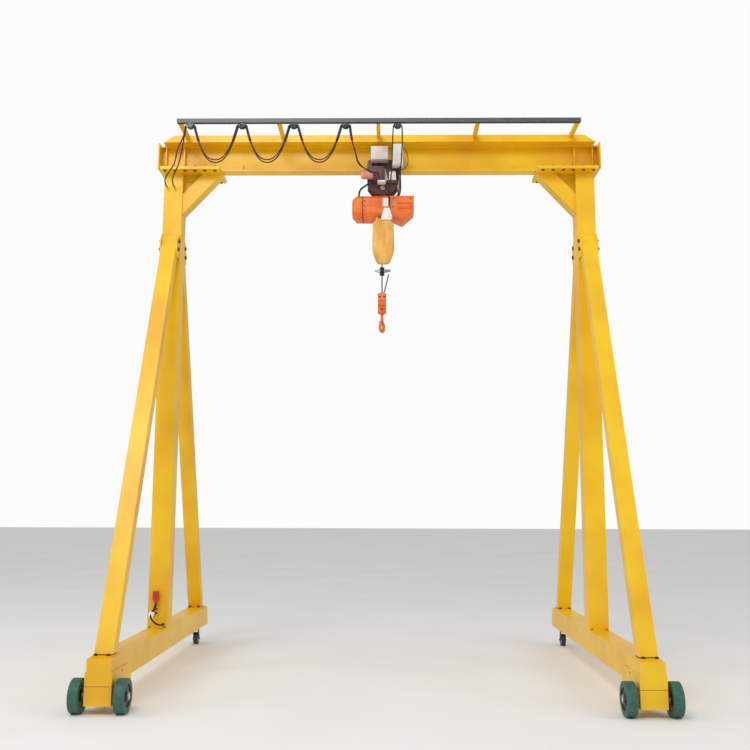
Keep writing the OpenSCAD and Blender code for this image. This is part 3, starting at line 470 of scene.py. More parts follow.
def tube(name, points, radius, around=3):
    data = bpy.data.curves.new(name, "CURVE")
    data.dimensions, data.bevel_depth, data.bevel_resolution, data.use_fill_caps = "3D", radius, around, True
    line = data.splines.new("POLY")
    line.points.add(len(points) - 1)
    for spot, point in zip(line.points, points):
        spot.co = (*point, 1)
    piece = bpy.data.objects.new(name, data)
    bpy.context.scene.collection.objects.link(piece)
    only(piece)
    bpy.ops.object.convert(target="MESH")
    return smooth(bpy.context.object, 50)


def length_of(points):
    return sum((b - a).length for a, b in zip(points, points[1:]))


post_foot = Vector((-2.0, 0, 0.394))
lead_route = [post_foot + Vector(p) * MM for p in (
    (60, -114.5, 38), (60, -130, 38), (56, -148, 37), (36, -170, 38), (0, -178, 56), (-36, -170, 92),
    (-44, -158, 132), (-28, -146, 166), (-10, -140, 190), (-10, -140, 206), (-10, -140, 221.5))]
lead_path = through(lead_route, 3)
lead = tube("supply_lead", lead_path, 8 * MM, around=4)

# %% Plug, boot and tag
low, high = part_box("supply_plug")
plug_x, plug_y = (low.x + high.x) / 2, (low.y + high.y) / 2
plug_r = (high.x - low.x) / 2
height = high.z - low.z
shell = bar("plug_shell", (plug_x, plug_y, low.z + 0.3 * height), (plug_x, plug_y, high.z), plug_r * 0.94, 40)
push_in(shell, (0, 0, 1), [(3 * MM, -0.3 * height)])
soften(shell, 1.2 * MM, 2)
collar = soften(bar("plug_collar", (plug_x, plug_y, low.z + 0.52 * height), (plug_x, plug_y, low.z + 0.72 * height),
                    plug_r, 24), 1.5 * MM, 2)
grip = soften(bar("plug_grip", (plug_x, plug_y, low.z), (plug_x, plug_y, low.z + 0.32 * height),
                  plug_r * 0.5, 12, tip=plug_r * 0.9), 1 * MM, 2)
pins = [bar("plug_pin", (plug_x + 9 * MM * math.cos(a), plug_y + 9 * MM * math.sin(a), high.z - 0.28 * height),
            (plug_x + 9 * MM * math.cos(a), plug_y + 9 * MM * math.sin(a), high.z - 3 * MM), 2.5 * MM, 12)
        for a in (math.radians(45 + 90 * k) for k in range(4))]
plug = fit(smooth(join("supply_plug_body", [shell, collar, grip] + pins)), RED, "frame", "red_plastic",
           "supply_plug")
boot = bar("supply_boot", lead_path[0], lead_path[0] + Vector((0, -30 * MM, 0)), 12.5 * MM, 32, tip=9 * MM)
fit(smooth(soften(boot, 1 * MM, 2)), BLACK_SHEATH, "frame", "black_plastic")
tag = block("lead_tag", (-2.062, -0.1665, 0.500), (-2.016, -0.1645, 0.548))
COIL_TURN, COIL_DROP = 0.9, 5.5 * MM
coil = [Vector((plug_x + 15 * MM * math.cos(COIL_TURN * k), plug_y + 11 * MM * math.sin(COIL_TURN * k) - 4 * MM,
                low.z - 6 * MM - COIL_DROP * k)) for k in range(20)]
coil = fit(tube("lead_coil", through(coil, 4), 5 * MM), SHEATH, "frame", "cable_rubber")
tag.data.transform(Matrix.Translation((-2.04, -0.165, 0.52)) @ Matrix.Rotation(0.3, 4, "Y")
                   @ Matrix.Translation((2.04, 0.165, -0.52)))
fit(smooth(soften(tag, 0.8 * MM, 2, longer=0.02)), CARD, "frame", "pale_paint")
fit(lead, BLACK_SHEATH, "frame", "cable_rubber", "supply_cable")
print("the supply lead is", round(length_of(lead_path), 3), "m long")

# %% [markdown]
# ## Festoon cables
# Two cables hang in loops from one carrier to the next, so that they fold and unfold as the trolley moves. A
# heavy cable in a short loop has steep sides and a round bottom. Each loop is one piece that hangs between its
# two carriers. Black sleeves bind the pair where it leaves a saddle, and widen it there.

# %% Loops
RAIL_Y = -0.52
CLAMP_X = -1.755
STEP = 0.48375
EXIT_Z, EDGE = 5.002, 40.07 * MM
CABLE_R = 6 * MM


def loop_points(x, y, sag, count=44, lean=0.0):
    half = STEP / 2 - EDGE
    found = []
    for k in range(count + 1):
        u = -math.cos(math.pi * k / count)
        drop = 1 - abs(u) ** 2.4
        found.append(Vector((x + STEP / 2 + half * u, RAIL_Y + y + lean * drop, EXIT_Z - sag * drop)))
    return found


def sleeve(name, points, long):
    """A flat black sleeve round both cables, over the first stretch of a route."""
    centre = [p for i, p in enumerate(points) if length_of(points[:i + 1]) < long]
    piece = tube(name, centre, 12 * MM, around=4)
    piece.data.transform(Matrix.Translation((0, RAIL_Y, 0)) @ Matrix.Diagonal((1, 2.3, 1, 1))
                         @ Matrix.Translation((0, -RAIL_Y, 0)))
    return fit_in(piece)


def fit_in(piece):
    piece.data.materials.clear()
    piece.data.materials.append(SLEEVE)
    return piece


def cable_run(name, routes, radius=CABLE_R, finish=SHEATH):
    runs = []
    for i, route in enumerate(routes):
        run = tube(f"{name}_{i}", route, radius)
        run.data.materials.append(finish)
        runs.append(run)
    return runs


for i in range(3):
    x = CLAMP_X + i * STEP
    routes = [loop_points(x, side * 16 * MM, 0.340 + 0.009 * side, lean=-side * 6 * MM) for side in (-1, 1)]
    middle = loop_points(x, 0, 0.340)
    wraps = [sleeve("wrap", middle, 0.15), sleeve("wrap", middle[::-1], 0.15)]
    loop = join(f"festoon_loop_{i + 1}", cable_run("run", routes) + wraps)
    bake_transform(loop)
    if i == 0:
        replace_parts(loop, "festoon_cable")
print("three loops, each from", round(length_of(loop_points(0, 0, 0.34)), 3), "m of cable")

# %% [markdown]
# The last half loop leaves the third carrier and drops to the drive on the trolley. Two more cables run from
# the tow carrier to the control box and to the hoist, and a pair feeds the rail from two glands on the post.

# %% Drops and feeds
def last_drop(y):
    x, z, t = CLAMP_X + 3 * STEP + EDGE, 4.74, 0.04
    return [(x, RAIL_Y + y, EXIT_Z), (x + 0.015, RAIL_Y + y, z + 0.15), (x + 0.05, RAIL_Y + y, z + 0.01),
            (x + 0.09, RAIL_Y + 0.06 + y, z - 0.09), (t - 0.1 + y, -0.37, z - 0.13),
            (t - 0.07 + y, -0.3, z - 0.11), (t - 0.06 + y, -0.255, z - 0.095),
            (t - 0.06 + y, -0.235, z - 0.095), (t - 0.06 + y, -0.2105, z - 0.095)]


middle = through(last_drop(0), 6)
drop = join("festoon_drop", cable_run("drop", [through(last_drop(s * 16 * MM), 6) for s in (-1, 1)])
            + [sleeve("wrap", middle, 0.15)])
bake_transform(drop)


def feed_points(end_x, y, p=-2.0, z=4.74):
    x = p - end_x
    return [(CLAMP_X - EDGE, RAIL_Y + y, EXIT_Z), (p + 0.18, RAIL_Y + y + 0.02, z + 0.16),
            (p + 0.13 + y, -0.43 + y, z + 0.06), (p + 0.08 + y, -0.34 + y, z - 0.04), (x + 0.01, -0.23, z - 0.13),
            (x, -0.16, z - 0.18), (x, -0.138, z - 0.18), (x, -0.1145, z - 0.18)]


feeds = cable_run("feed", [through(feed_points(0.055, -16 * MM), 6), through(feed_points(-0.015, 16 * MM), 6)])
fit(join("feed_cables", feeds), None, "frame", "cable_rubber", "feed_cable")
tow_x = CLAMP_X + 4 * STEP
control = [Vector((tow_x + EDGE, RAIL_Y, EXIT_Z)) + Vector(p) * MM for p in (
    (0, 0, 0), (4, 15, -80), (2, 90, -200), (-6, 180, -300), (-12, 280, -352), (-14, 345, -340),
    (-14, 360, -305), (-14, 360, -285), (-14, 360, -258.5))]
down = [Vector((tow_x - EDGE, RAIL_Y, EXIT_Z)) + Vector(p) * MM for p in (
    (0, 0, 0), (-4, 20, -90), (-10, 120, -250), (-20, 230, -420), (-34, 310, -517), (-39, 350, -627),
    (-39, 375, -627), (-39, 399.5, -627))]
tails = cable_run("tail", [through(control, 6), through(down, 6)], finish=BLACK_SHEATH)
fit(join("trolley_cables", tails), None, "trolley", "cable_rubber", "trolley_cable")

# %% [markdown]
# ## Front wheels
# Four big wheels carry the front. Each is a cast iron hub with a polyurethane tyre. One is made from a short
# cylinder: its end faces are inset to the hub and pushed in as a dish, inset again and pulled out as a boss,
# and the tyre's shoulders are rounded. The same recipe makes all four, and each rides on its own body.

# %% One wheel
def wheel(name, place, radius, width, hub_r, dish, tyre, hub):
    half = Vector((width / 2, 0, 0))
    piece = bar(name, -half, half, radius, 96)
    piece.data.materials.append(tyre)
    piece.data.materials.append(hub)
    steps = [(radius - hub_r, 0), (0.4 * dish, -dish), (hub_r * 0.42, 0), (hub_r * 0.06, dish * 0.8)]
    for side in (-1, 1):
        push_in(piece, (side, 0, 0), steps)
    soften(piece, width * 0.27, 6, turn=60, longer=0)
    for face in piece.data.polygons:
        face.material_index = 1 if math.hypot(face.center.y, face.center.z) < hub_r else 0
    return shift(smooth(piece, 40), place)


def hex_bolt(name, place, way, size):
    """A bolt head with its washer, standing on a surface that looks along a direction."""
    place, way = Vector(place), Vector(way)
    washer = bar("washer", place, place + way * size * 0.18, size * 0.95, 24)
    head = soften(bar("head", place + way * size * 0.18, place + way * size * 0.8, size * 0.72, 6), size * 0.06, 2)
    return smooth(join(name, [washer, head]))


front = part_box("left_outer_wheel")
WHEEL_R, WHEEL_W = (front[1].z - front[0].z) / 2, front[1].x - front[0].x
for node in ("left_outer_wheel", "left_inner_wheel", "right_outer_wheel", "right_inner_wheel"):
    low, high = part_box(node)
    centre = (low + high) / 2
    tyre = wheel(node + "_tyred", centre, WHEEL_R, WHEEL_W, 0.085, 9 * MM, TYRE, HUB)
    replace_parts(fit(tyre, None, node, "wheel_rubber"), node)
    out = 1 if abs(centre.x) < 2 else -1
    way = Vector((math.copysign(1, -centre.x) * out, 0, 0))
    face = centre + way * (WHEEL_W / 2 - 3 * MM)
    bolts = [hex_bolt("hub_bolt", face + Vector((0, 0, up)), way, 9 * MM) for up in (-30 * MM, 30 * MM)]
    fit(join(node + "_hub_bolts", bolts), ZINC, node, "zinc_steel")
print("front wheels:", round(2 * WHEEL_R, 3), "m across and", round(WHEEL_W, 3), "m wide")

# %% [markdown]
# ## Feet of the post and the struts
# Each post stands on a square foot plate with four bolts. A thin dark red band is painted shade: it stands in
# for the shadow in the gap where a strut meets its foot flange, and for the shadow in the seam where the lower
# lip of a wheel box overlaps the box.

# %% Foot plates and painted shade lines
def around(name, low, high, proud):
    """A thin band that stands proud of a box on every side."""
    grow = Vector((proud, proud, 0))
    return block(name, Vector(low) - grow, Vector(high) + grow)


FOOT_OVER, STRUT_DEEP, REAR_FOOT_BACK = 50 * MM, 108 * MM, 158 * MM
FOOT_PLATE_Y, FOOT_BOLT_X, FOOT_BOLT_Y = 0.126, 0.066, 0.109
SEAM_LOW, SEAM_HIGH = 0.1985, 0.2015
plates, lines, bolts = [], [], []
for side in ("left", "right"):
    low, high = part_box(side + "_front_strut")
    mid, top = (low.x + high.x) / 2, low.z
    half = (high.x - low.x) / 2 - 8 * MM
    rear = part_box(side + "_rear_strut")[1]
    for start_y in (low.y + FOOT_OVER, rear.y - REAR_FOOT_BACK):
        # A dark red band painted as the shadow in the gap at a strut's foot
        lines.append(around("painted_shade_line", (mid - half, start_y, top + 12 * MM),
                            (mid + half, start_y + STRUT_DEEP, top + 18 * MM), 1.5 * MM))
    box_low, box_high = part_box(side + "_wheel_box")
    # A dark red band painted as the shadow in the seam of the wheel box
    lines.append(around("painted_shade_line", (box_low.x, box_low.y, SEAM_LOW),
                        (box_high.x, box_low.y + 0.19, SEAM_HIGH), 0.8 * MM))
    plates.append(soften(block("foot_plate", (mid - 0.0885, -FOOT_PLATE_Y, top),
                               (mid + 0.0885, FOOT_PLATE_Y, top + 8 * MM)), 1.5 * MM, 2))
    bolts += [hex_bolt("foot_bolt", (mid + dx, dy, top + 8 * MM), (0, 0, 1), 10 * MM)
              for dx in (-FOOT_BOLT_X, FOOT_BOLT_X) for dy in (-FOOT_BOLT_Y, FOOT_BOLT_Y)]
fit(smooth(join("post_foot_plates", plates)), YELLOW, "frame", "yellow_paint")
# The painted shade bands and the real foot bolts share the dark red bolt finish
fit(join("painted_shade_lines_and_foot_bolts", lines + bolts), BOLT_OXIDE_AND_SHADE, "frame", "yellow_paint")

# %% [markdown]
# ## Casters
# The two rear casters are small black rubber wheels on a grey disc, each in a pressed fork. The wheel is the
# same recipe as the front one, only smaller. The fork keeps its designed shape, and gets the nut at each end
# of its axle.

# %% Caster wheels and nuts
for side in ("left", "right"):
    low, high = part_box(side + "_caster_wheel")
    centre = (low + high) / 2
    small = wheel(side + "_caster_tyred", centre, (high.z - low.z) / 2, high.x - low.x, 0.040, 4 * MM,
                  BLACK_TYRE, GREY)
    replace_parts(fit(small, None, side + "_caster_wheel", "wheel_rubber"), side + "_caster_wheel")
    low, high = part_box(side + "_caster_fork")
    nuts = [hex_bolt("nut", (low.x - 0.2 * MM, centre.y, centre.z), (-1, 0, 0), 9 * MM),
            hex_bolt("nut", (high.x + 0.2 * MM, centre.y, centre.z), (1, 0, 0), 9 * MM)]
    fit(join(side + "_caster_nuts", nuts), ZINC, side + "_caster", "zinc_steel")
print("casters done")

# %% [markdown]
# ## Rounded castings
# A casting or a folded box never has sharp corners. For the hoist, the trolley and the hook block, a copy of
# the designed piece is merged into one surface, its flat faces are joined up, and its corners are bevelled.
# The copy has the exact outline and the same holes, and light now catches its edges.

# %% Rounded copies
def rounded(name, node, width, segments=3, turn=28):
    piece = bpy.data.objects.new(name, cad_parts[node].data.copy())
    bpy.context.scene.collection.objects.link(piece)
    edit(piece, faces=lambda face: True)
    bpy.ops.mesh.customdata_custom_splitnormals_clear()
    bpy.ops.mesh.remove_doubles(threshold=0.01 * MM)
    bpy.ops.mesh.dissolve_limited(angle_limit=math.radians(0.6))
    done()
    soften(piece, width, segments, turn, longer=width * 0.5)
    return smooth(piece, 30)


HOIST = [("hoist_middle", "hoist_body", 5 * MM), ("hoist_motor_end", "motor_cover", 7 * MM),
         ("hoist_gear_end", "gear_cover", 7 * MM)]
for name, node, width in HOIST:
    fit(rounded(name, node, width), ORANGE, "trolley", "orange_paint", node)
fit(rounded("hook_lower_block", "hook_block", 6 * MM), ORANGE, "hook_block", "orange_paint", "hook_block")
for side in ("front", "rear"):
    node = f"trolley_{side}_plate"
    fit(rounded(f"trolley_{side}_cheek", node, 1.5 * MM, 2), MAROON, "trolley", "maroon_paint", node)
fit(rounded("trolley_control_box", "control_box", 4 * MM, 3), PALE, "trolley", "pale_paint", "control_box")
print("rounded copies:", [len(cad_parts[node].data.polygons) for _, node, _ in HOIST], "faces each before")

# %% [markdown]
# ## The hoist's details
# Between the hoist's middle and its two ends are black gaskets. The motor end has a ring of cap screws, the
# gear end has two raised ribs, and the middle has a pale plate and the guide where the slack chain leaves for
# its bag. Each is a block or a bar, inset, extruded or bevelled, then set on the face that it belongs to.

# %% Gaskets, screws, ribs and the chain guide
def slice_of(name, node, x, half, grow):
    """A thin slice of a node's outline across X, grown a little so that it stands proud."""
    piece = bpy.data.objects.new(name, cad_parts[node].data.copy())
    bpy.context.scene.collection.objects.link(piece)
    edit(piece, faces=lambda face: True)
    bpy.ops.mesh.remove_doubles(threshold=0.01 * MM)
    for side in (-1, 1):
        bpy.ops.mesh.select_all(action="SELECT")
        bpy.ops.mesh.bisect(plane_co=(x + side * half, 0, 0), plane_no=(side, 0, 0), use_fill=True,
                            clear_outer=True)
    done()
    low, high = [Vector(c) for c in (piece.bound_box[0], piece.bound_box[6])]
    middle = (low + high) / 2
    size = high - low
    piece.data.transform(Matrix.Translation(middle) @ Matrix.Diagonal(
        (1, 1 + 2 * grow / size.y, 1 + 2 * grow / size.z, 1)) @ Matrix.Translation(-middle))
    return piece


low_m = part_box("motor_cover")[0]
low_b, high_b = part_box("hoist_body")
low_g, high_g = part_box("gear_cover")
gaskets = [slice_of("gasket", "motor_cover", low_b.x - 2 * MM, 1.5 * MM, 1.2 * MM),
           slice_of("gasket", "hoist_body", high_b.x - 2.5 * MM, 1.5 * MM, 1.2 * MM)]
fit(join("hoist_gaskets", gaskets), BUFFER, "trolley", "black_plastic")
HOIST_FRONT = low_b.y
LOW_Z = low_b.z
screws = [hex_bolt("screw", (x, HOIST_FRONT, LOW_Z + up), (0, -1, 0), 6 * MM)
          for x in (low_b.x + 0.012, high_b.x - 0.014) for up in (0.075, 0.122, 0.170)]
screws += [hex_bolt("screw", (x, low_g.y, LOW_Z + up), (0, -1, 0), 7 * MM)
           for x in (high_g.x - 0.030, low_g.x + 0.030) for up in (0.112, 0.196)]
screws += [hex_bolt("screw", (low_m.x + 0.030, -0.100, LOW_Z + up), (0, -1, 0), 8 * MM)
           for up in (0.080, 0.115, 0.150)]
fit(join("hoist_screws", screws), DARK_STEEL, "trolley", "zinc_steel")


def rib(x, wide, up, tall):
    low = (x, low_g.y - 9.5 * MM, LOW_Z + up)
    return soften(block("rib", low, (x + wide, low_g.y + 1 * MM, LOW_Z + up + tall)), 1.5 * MM, 2)


ribs = [rib(high_g.x - 0.150, 0.128, 0.098, 5 * MM), rib(high_g.x - 0.160, 0.140, 0.150, 5 * MM)]
ribs += [rib(low_b.x + 0.018, 0.150, up, 4 * MM) for up in (0.070, 0.118, 0.166)]
fit(smooth(join("hoist_ribs", ribs)), ORANGE, "trolley", "orange_paint")
plate = block("plate", (0.040, HOIST_FRONT - 2 * MM, LOW_Z + 0.115), (0.102, HOIST_FRONT + 1 * MM, LOW_Z + 0.200))
soften(plate, 1 * MM, 2)
push_in(plate, (0, -1, 0), [(4 * MM, -0.6 * MM)])
guide = block("guide", (0.052, HOIST_FRONT - 9 * MM, LOW_Z + 0.010), (0.108, HOIST_FRONT + 1 * MM, LOW_Z + 0.098))
edit(guide, faces=lambda face: face.normal.z < -0.9)
bpy.ops.transform.resize(value=(1.9, 1.0, 1.0))
bpy.ops.mesh.extrude_region_move(TRANSFORM_OT_translate={"value": (0, 0, -0.030)})
done()
soften(guide, 4 * MM, 3)
push_in(guide, (0, -1, 0), [(9 * MM, -2 * MM)])
fit(smooth(join("hoist_plate_and_guide", [plate, guide])), PALE, "trolley", "pale_paint")
print("hoist front is at y =", round(HOIST_FRONT, 4))

# %% [markdown]
# ## The trolley's drive
# A small motor with cooling ribs turns the trolley's wheels through a gear case on the front plate, under a
# pale box of contactors. The gear case carries two pale cast bearing blocks, one of them tapered.

# %% Motor, gear case and contactor box
low_d, high_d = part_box("trolley_drive")
CASE_FRONT, CASE_LOW, CASE_HIGH, CASE_LEFT = -0.121, 4.594, 4.735, -0.053
MOTOR_Y, MOTOR_Z = -0.161, 4.664
case = soften(block("case", (CASE_LEFT, CASE_FRONT, CASE_LOW), (0.177, -0.095, CASE_HIGH)), 5 * MM, 3)
push_in(case, (0, -1, 0), [(8 * MM, 3 * MM)])
housing = soften(block("housing", (CASE_LEFT, -0.205, CASE_LOW), (0.060, CASE_FRONT, CASE_HIGH)), 8 * MM, 3)
push_in(housing, (0, -1, 0), [(12 * MM, 5 * MM)])
fit(smooth(join("drive_gear_case", [case, housing])), MAROON, "trolley", "maroon_paint")

motor = bar("motor", (-0.165, MOTOR_Y, MOTOR_Z), (CASE_LEFT, MOTOR_Y, MOTOR_Z), 43 * MM, 64)
fins = [soften(bar("fin", (x, MOTOR_Y, MOTOR_Z), (x + 3 * MM, MOTOR_Y, MOTOR_Z), 48 * MM, 48), 0.8 * MM, 1)
        for x in (-0.148 + 9 * MM * k for k in range(10))]
cap = bar("cap", (-0.169, MOTOR_Y, MOTOR_Z), (-0.158, MOTOR_Y, MOTOR_Z), 34 * MM, 48)
push_in(cap, (-1, 0, 0), [(7 * MM, -3 * MM), (6 * MM, 2 * MM)])
soften(motor, 3 * MM, 3, turn=60)
soften(cap, 1 * MM, 2, turn=50)
fit(smooth(join("drive_motor", [motor, cap] + fins)), SALMON, "trolley", "pale_paint")

upper = soften(block("upper", (-0.074, -0.203, 4.805), (0.091, -0.095, 4.937)), 5 * MM, 3)
push_in(upper, (0, -1, 0), [(7 * MM, 0), (1.5 * MM, -1.5 * MM), (1.5 * MM, 2.5 * MM)])
fit(smooth(upper), PALE, "trolley", "pale_paint")


def bearing_block(x, z, wide, tall, narrow, bore):
    """A cast block, narrower at its top, with a round cap over its bearing, on a face that looks along -Y."""
    body = block("body", (x - wide / 2, -0.137, z), (x + wide / 2, -0.120, z + tall))
    edit(body, faces=lambda face: face.normal.z > 0.9)
    bpy.ops.transform.resize(value=(narrow, 0.8, 1.0))
    done()
    soften(body, 4 * MM, 3)
    push_in(body, (0, -1, 0), [(5 * MM, -2.5 * MM)])
    ring = bar("ring", (x, -0.130, z + tall * 0.42), (x, -0.143, z + tall * 0.42), bore, 40)
    push_in(ring, (0, -1, 0), [(bore * 0.35, -4 * MM), (bore * 0.2, 3 * MM)])
    return [body, soften(ring, 1.2 * MM, 2, turn=50)]


bits = bearing_block(0.040, 4.618, 0.108, 0.118, 0.42, 19 * MM)
caps = bearing_block(0.134, 4.622, 0.070, 0.084, 0.90, 20 * MM)
stand = soften(block("stand", (-0.010, -0.212, 4.575), (0.070, -0.120, 4.592)), 3 * MM, 2)
fit(smooth(join("drive_bracket_and_caps", bits + caps + [stand])), PALE, "trolley", "pale_paint", "trolley_drive")
print("drive box:", [round(v, 3) for v in (*low_d, *high_d)])

# %% [markdown]
# ## The load chain
# The chain is made of short welded links, each turned a quarter against the next. One link is a small ring that
# is stretched in edit mode, with few faces because there are hundreds. The chain under the hoist is one piece.
# It rides with the hook, and its top end slides up into the hollow casing as the hook rises.

# %% Links
LINK_WIRE, LINK_PITCH, LINK_WIDE = 5 * MM, 15 * MM, 16.5 * MM


def link_shape():
    bpy.ops.mesh.primitive_torus_add(major_segments=12, minor_segments=6, minor_radius=LINK_WIRE / 2,
                                     major_radius=(LINK_WIDE - LINK_WIRE) / 2, rotation=(math.pi / 2, 0, 0))
    ring = settle(bpy.context.object, "link")
    for side in (-1, 1):
        edit(ring, faces=lambda face: face.calc_center_median().z * side > 0.1 * MM)
        grow = (LINK_PITCH + LINK_WIRE - (LINK_WIDE - LINK_WIRE)) / 2
        bpy.ops.transform.translate(value=(0, 0, side * grow))
        done()
    return ring


LINK = link_shape()


def chain_mesh(name, top, bottom):
    top, bottom = Vector(top), Vector(bottom)
    way = bottom - top
    count = round(way.length / LINK_PITCH)
    turn = (-way).to_track_quat("Z", "Y").to_matrix().to_4x4()
    shape = bmesh.new()
    for i in range(count):
        before = len(shape.verts)
        shape.from_mesh(LINK.data)
        shape.verts.ensure_lookup_table()
        spot = top + way * ((i + 0.5) / count)
        move = Matrix.Translation(spot) @ turn @ Matrix.Rotation(math.radians(45 + 90 * (i % 2)), 4, "Z")
        bmesh.ops.transform(shape, matrix=move, verts=shape.verts[before:])
    return smooth(from_shape(name, shape), 60)


CHAIN_X, CHAIN_Y = 0.035, 0.030
strand = chain_mesh("load_chain_strand", (CHAIN_X, CHAIN_Y, LOW_Z + 7 * MM), (CHAIN_X, CHAIN_Y, 3.789))
fit(strand, CHAIN_STEEL, "hook_block", "chain_steel", "load_chain")
short = chain_mesh("lower_chain_strand", (CHAIN_X, CHAIN_Y, 3.716), (CHAIN_X, CHAIN_Y, 3.536))
fit(short, CHAIN_STEEL, "hook_block", "chain_steel", "lower_chain")
second = chain_mesh("chain_dead_end", (0.098, CHAIN_Y, 3.722), (0.056, CHAIN_Y, 3.540))
fit(second, CHAIN_STEEL, "hook_block", "chain_steel")

# %% [markdown]
# Three metres of chain wait in the hoist, and pay out as the hook goes down. This piece is drawn as it hangs at
# the lowest hook, then folded back into the casing: a point's share of the
# travel grows smoothly from none at the top of the casing to all of it at the bottom.

# %% The chain that pays out
TRAVEL, PAY_TOP, PAY_LOW = 3.0, LOW_Z + 0.213, LOW_Z + 0.008


def share(z):
    t = min(1, max(0, (PAY_TOP - z) / (PAY_TOP - PAY_LOW)))
    return t * t * (3 - 2 * t)


def folded(z_low):
    """The height at rest of a point that lies at z_low when the hook is lowest."""
    a, b = PAY_LOW - 0.02, PAY_TOP
    for _ in range(48):
        z = (a + b) / 2
        a, b = (z, b) if z - TRAVEL * share(z) < z_low else (a, z)
    return (a + b) / 2


pay = chain_mesh("load_chain_pay_out", (CHAIN_X, CHAIN_Y, PAY_TOP - 0.012),
                 (CHAIN_X, CHAIN_Y, LOW_Z + 7 * MM - TRAVEL))
for spot in pay.data.vertices:
    spot.co.z = folded(spot.co.z)
pay.data.materials.append(CHAIN_STEEL)
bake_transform(pay)
bpy.data.objects.remove(LINK)
print("the pay-out chain has", len(pay.data.polygons), "faces")

# %% [markdown]
# ## The buffer and the hook block
# Under the bag hangs the limit buffer: a rubber roll between two steel wings, which presses a switch when the
# hook comes home. The block below it has a bolt through each half and a nut that holds the swivelling hook.

# %% Buffer, wings, bolts and nut
low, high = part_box("chain_stop")
roll = bar("roll", (CHAIN_X, CHAIN_Y, low.z), (CHAIN_X, CHAIN_Y, high.z), 22 * MM, 40)
push_in(roll, (0, 0, 1), [(4 * MM, -3 * MM)])
groove = [soften(bar("ring", (CHAIN_X, CHAIN_Y, z), (CHAIN_X, CHAIN_Y, z + 9 * MM), 24 * MM, 40), 3 * MM, 3, turn=60)
          for z in (low.z + 0.008, low.z + 0.030, low.z + 0.052)]
fit(smooth(join("limit_buffer", [soften(roll, 2 * MM, 2, turn=60)] + groove)), BUFFER, "hook_block",
    "black_plastic", "chain_stop")
wings = []
for side in (-1, 1):
    reach = high.x - CHAIN_X if side > 0 else CHAIN_X - low.x
    wing = block("wing", (0.018, -20 * MM, -16 * MM), (reach - 6 * MM, 20 * MM, 12 * MM))
    edit(wing, faces=lambda face: face.normal.x > 0.9)
    bpy.ops.transform.resize(value=(1, 0.7, 0.55))
    bpy.ops.transform.translate(value=(0, 0, 8 * MM))
    done()
    wing.data.transform(Matrix.Diagonal((side, 1, 1, 1)))
    edit(wing, faces=lambda face: True)
    bpy.ops.mesh.normals_make_consistent(inside=False)
    done()
    push_in(wing, (0, -1, 0), [(4 * MM, -2 * MM)])
    wings.append(shift(soften(wing, 2 * MM, 2), (CHAIN_X, CHAIN_Y, (low.z + high.z) / 2 + 4 * MM)))
wings += [hex_bolt("bolt", (CHAIN_X + out, CHAIN_Y - 19 * MM, (low.z + high.z) / 2 + 5 * MM), (0, -1, 0), 6 * MM)
          for out in (-0.034, 0.034)]
fit(smooth(join("buffer_wings", wings)), ZINC, "hook_block", "zinc_steel")

low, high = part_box("hook_block")
middle = (low + high) / 2
bolts = [hex_bolt("bolt", (middle.x + dx, low.y, z), (0, -1, 0), 9 * MM)
         for dx, z in ((-0.02, high.z - 0.045), (0.02, high.z - 0.045), (0, low.z + 0.045))]
fit(join("hook_block_bolts", bolts), DARK_STEEL, "hook_block", "zinc_steel")
seam = soften(block("seam", (low.x - 1 * MM, middle.y - 2 * MM, low.z + 8 * MM),
                    (high.x + 1 * MM, middle.y + 2 * MM, high.z - 8 * MM)), 1 * MM, 1)
rings = [soften(around("band", (low.x, low.y, z), (high.x, high.y, z + 5 * MM), 1.2 * MM), 4 * MM, 3)
         for z in (high.z - 0.085, low.z + 0.078)]
fit(smooth(join("hook_block_bands", [seam] + rings)), DARK_STEEL, "hook_block", "zinc_steel")
print("hook block:", [round(v, 3) for v in high - low])

# %% [markdown]
# ## The chain bag
# The slack chain falls into a bag of coated canvas that hangs under the hoist. It is lofted as one shell: rings
# of points, each a rounded rectangle, go from the rim down to a tapered bottom. The cloth is drawn in to a neck
# under the guide, bellies where the heap of chain presses it, and creases where it is folded under. A hem
# runs round the rim, with a webbing strap on each side.

# %% Bag shell
low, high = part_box("chain_bag")
BAG_MID = (low + high) / 2
BAG_HALF = (high - low) / 2


TAPER_FROM, ROUND_FROM, FOLD_AT = 0.66, 0.95, 0.80


def bag_ring(depth, share_round, inset=0.0):
    """A point of the bag, from 0 at the rim to 1 at the bottom, and by the share of a turn round it."""
    turn = 2 * math.pi * share_round
    under = max(0.0, (depth - TAPER_FROM) / (1 - TAPER_FROM))
    last = max(0.0, (depth - ROUND_FROM) / (1 - ROUND_FROM))
    narrow = (1 - 0.62 * under ** 1.5) * math.sqrt(max(0.0, 1 - 0.75 * last ** 2))
    belly = 0.035 * math.sin(math.pi * min(1, depth / 0.9)) ** 2 - 0.030 * math.sin(math.pi * min(1, depth * 1.6))
    neck = 0.55 + 0.45 * min(1, max(0, (depth - 0.015) / 0.10)) ** 0.6
    ex, ey = 0.36, 0.44
    cx, cy = math.cos(turn), math.sin(turn)
    x = math.copysign(abs(cx) ** ex, cx) * (BAG_HALF.x - inset) * (0.955 + belly) * (0.30 + 0.70 * narrow) * neck
    y = math.copysign(abs(cy) ** ey, cy) * (BAG_HALF.y - inset) * (0.93 + belly) * (0.30 + 0.70 * narrow)
    z = high.z - 1 * MM - depth * (2 * BAG_HALF.z - 3 * MM)
    crease = noise.noise(Vector((x * 18, y * 18, z * 9))) * 2.2 * MM * (0.35 + 0.65 * depth)
    fold = -5 * MM * math.exp(-((depth - FOLD_AT + 0.35 * abs(x) / BAG_HALF.x) / 0.020) ** 2)
    fold *= 1 if cy < 0 else 0.4
    return Vector((BAG_MID.x + x * (1 + crease / BAG_HALF.x),
                   BAG_MID.y + y * (1 + (crease + fold) / BAG_HALF.y), z))


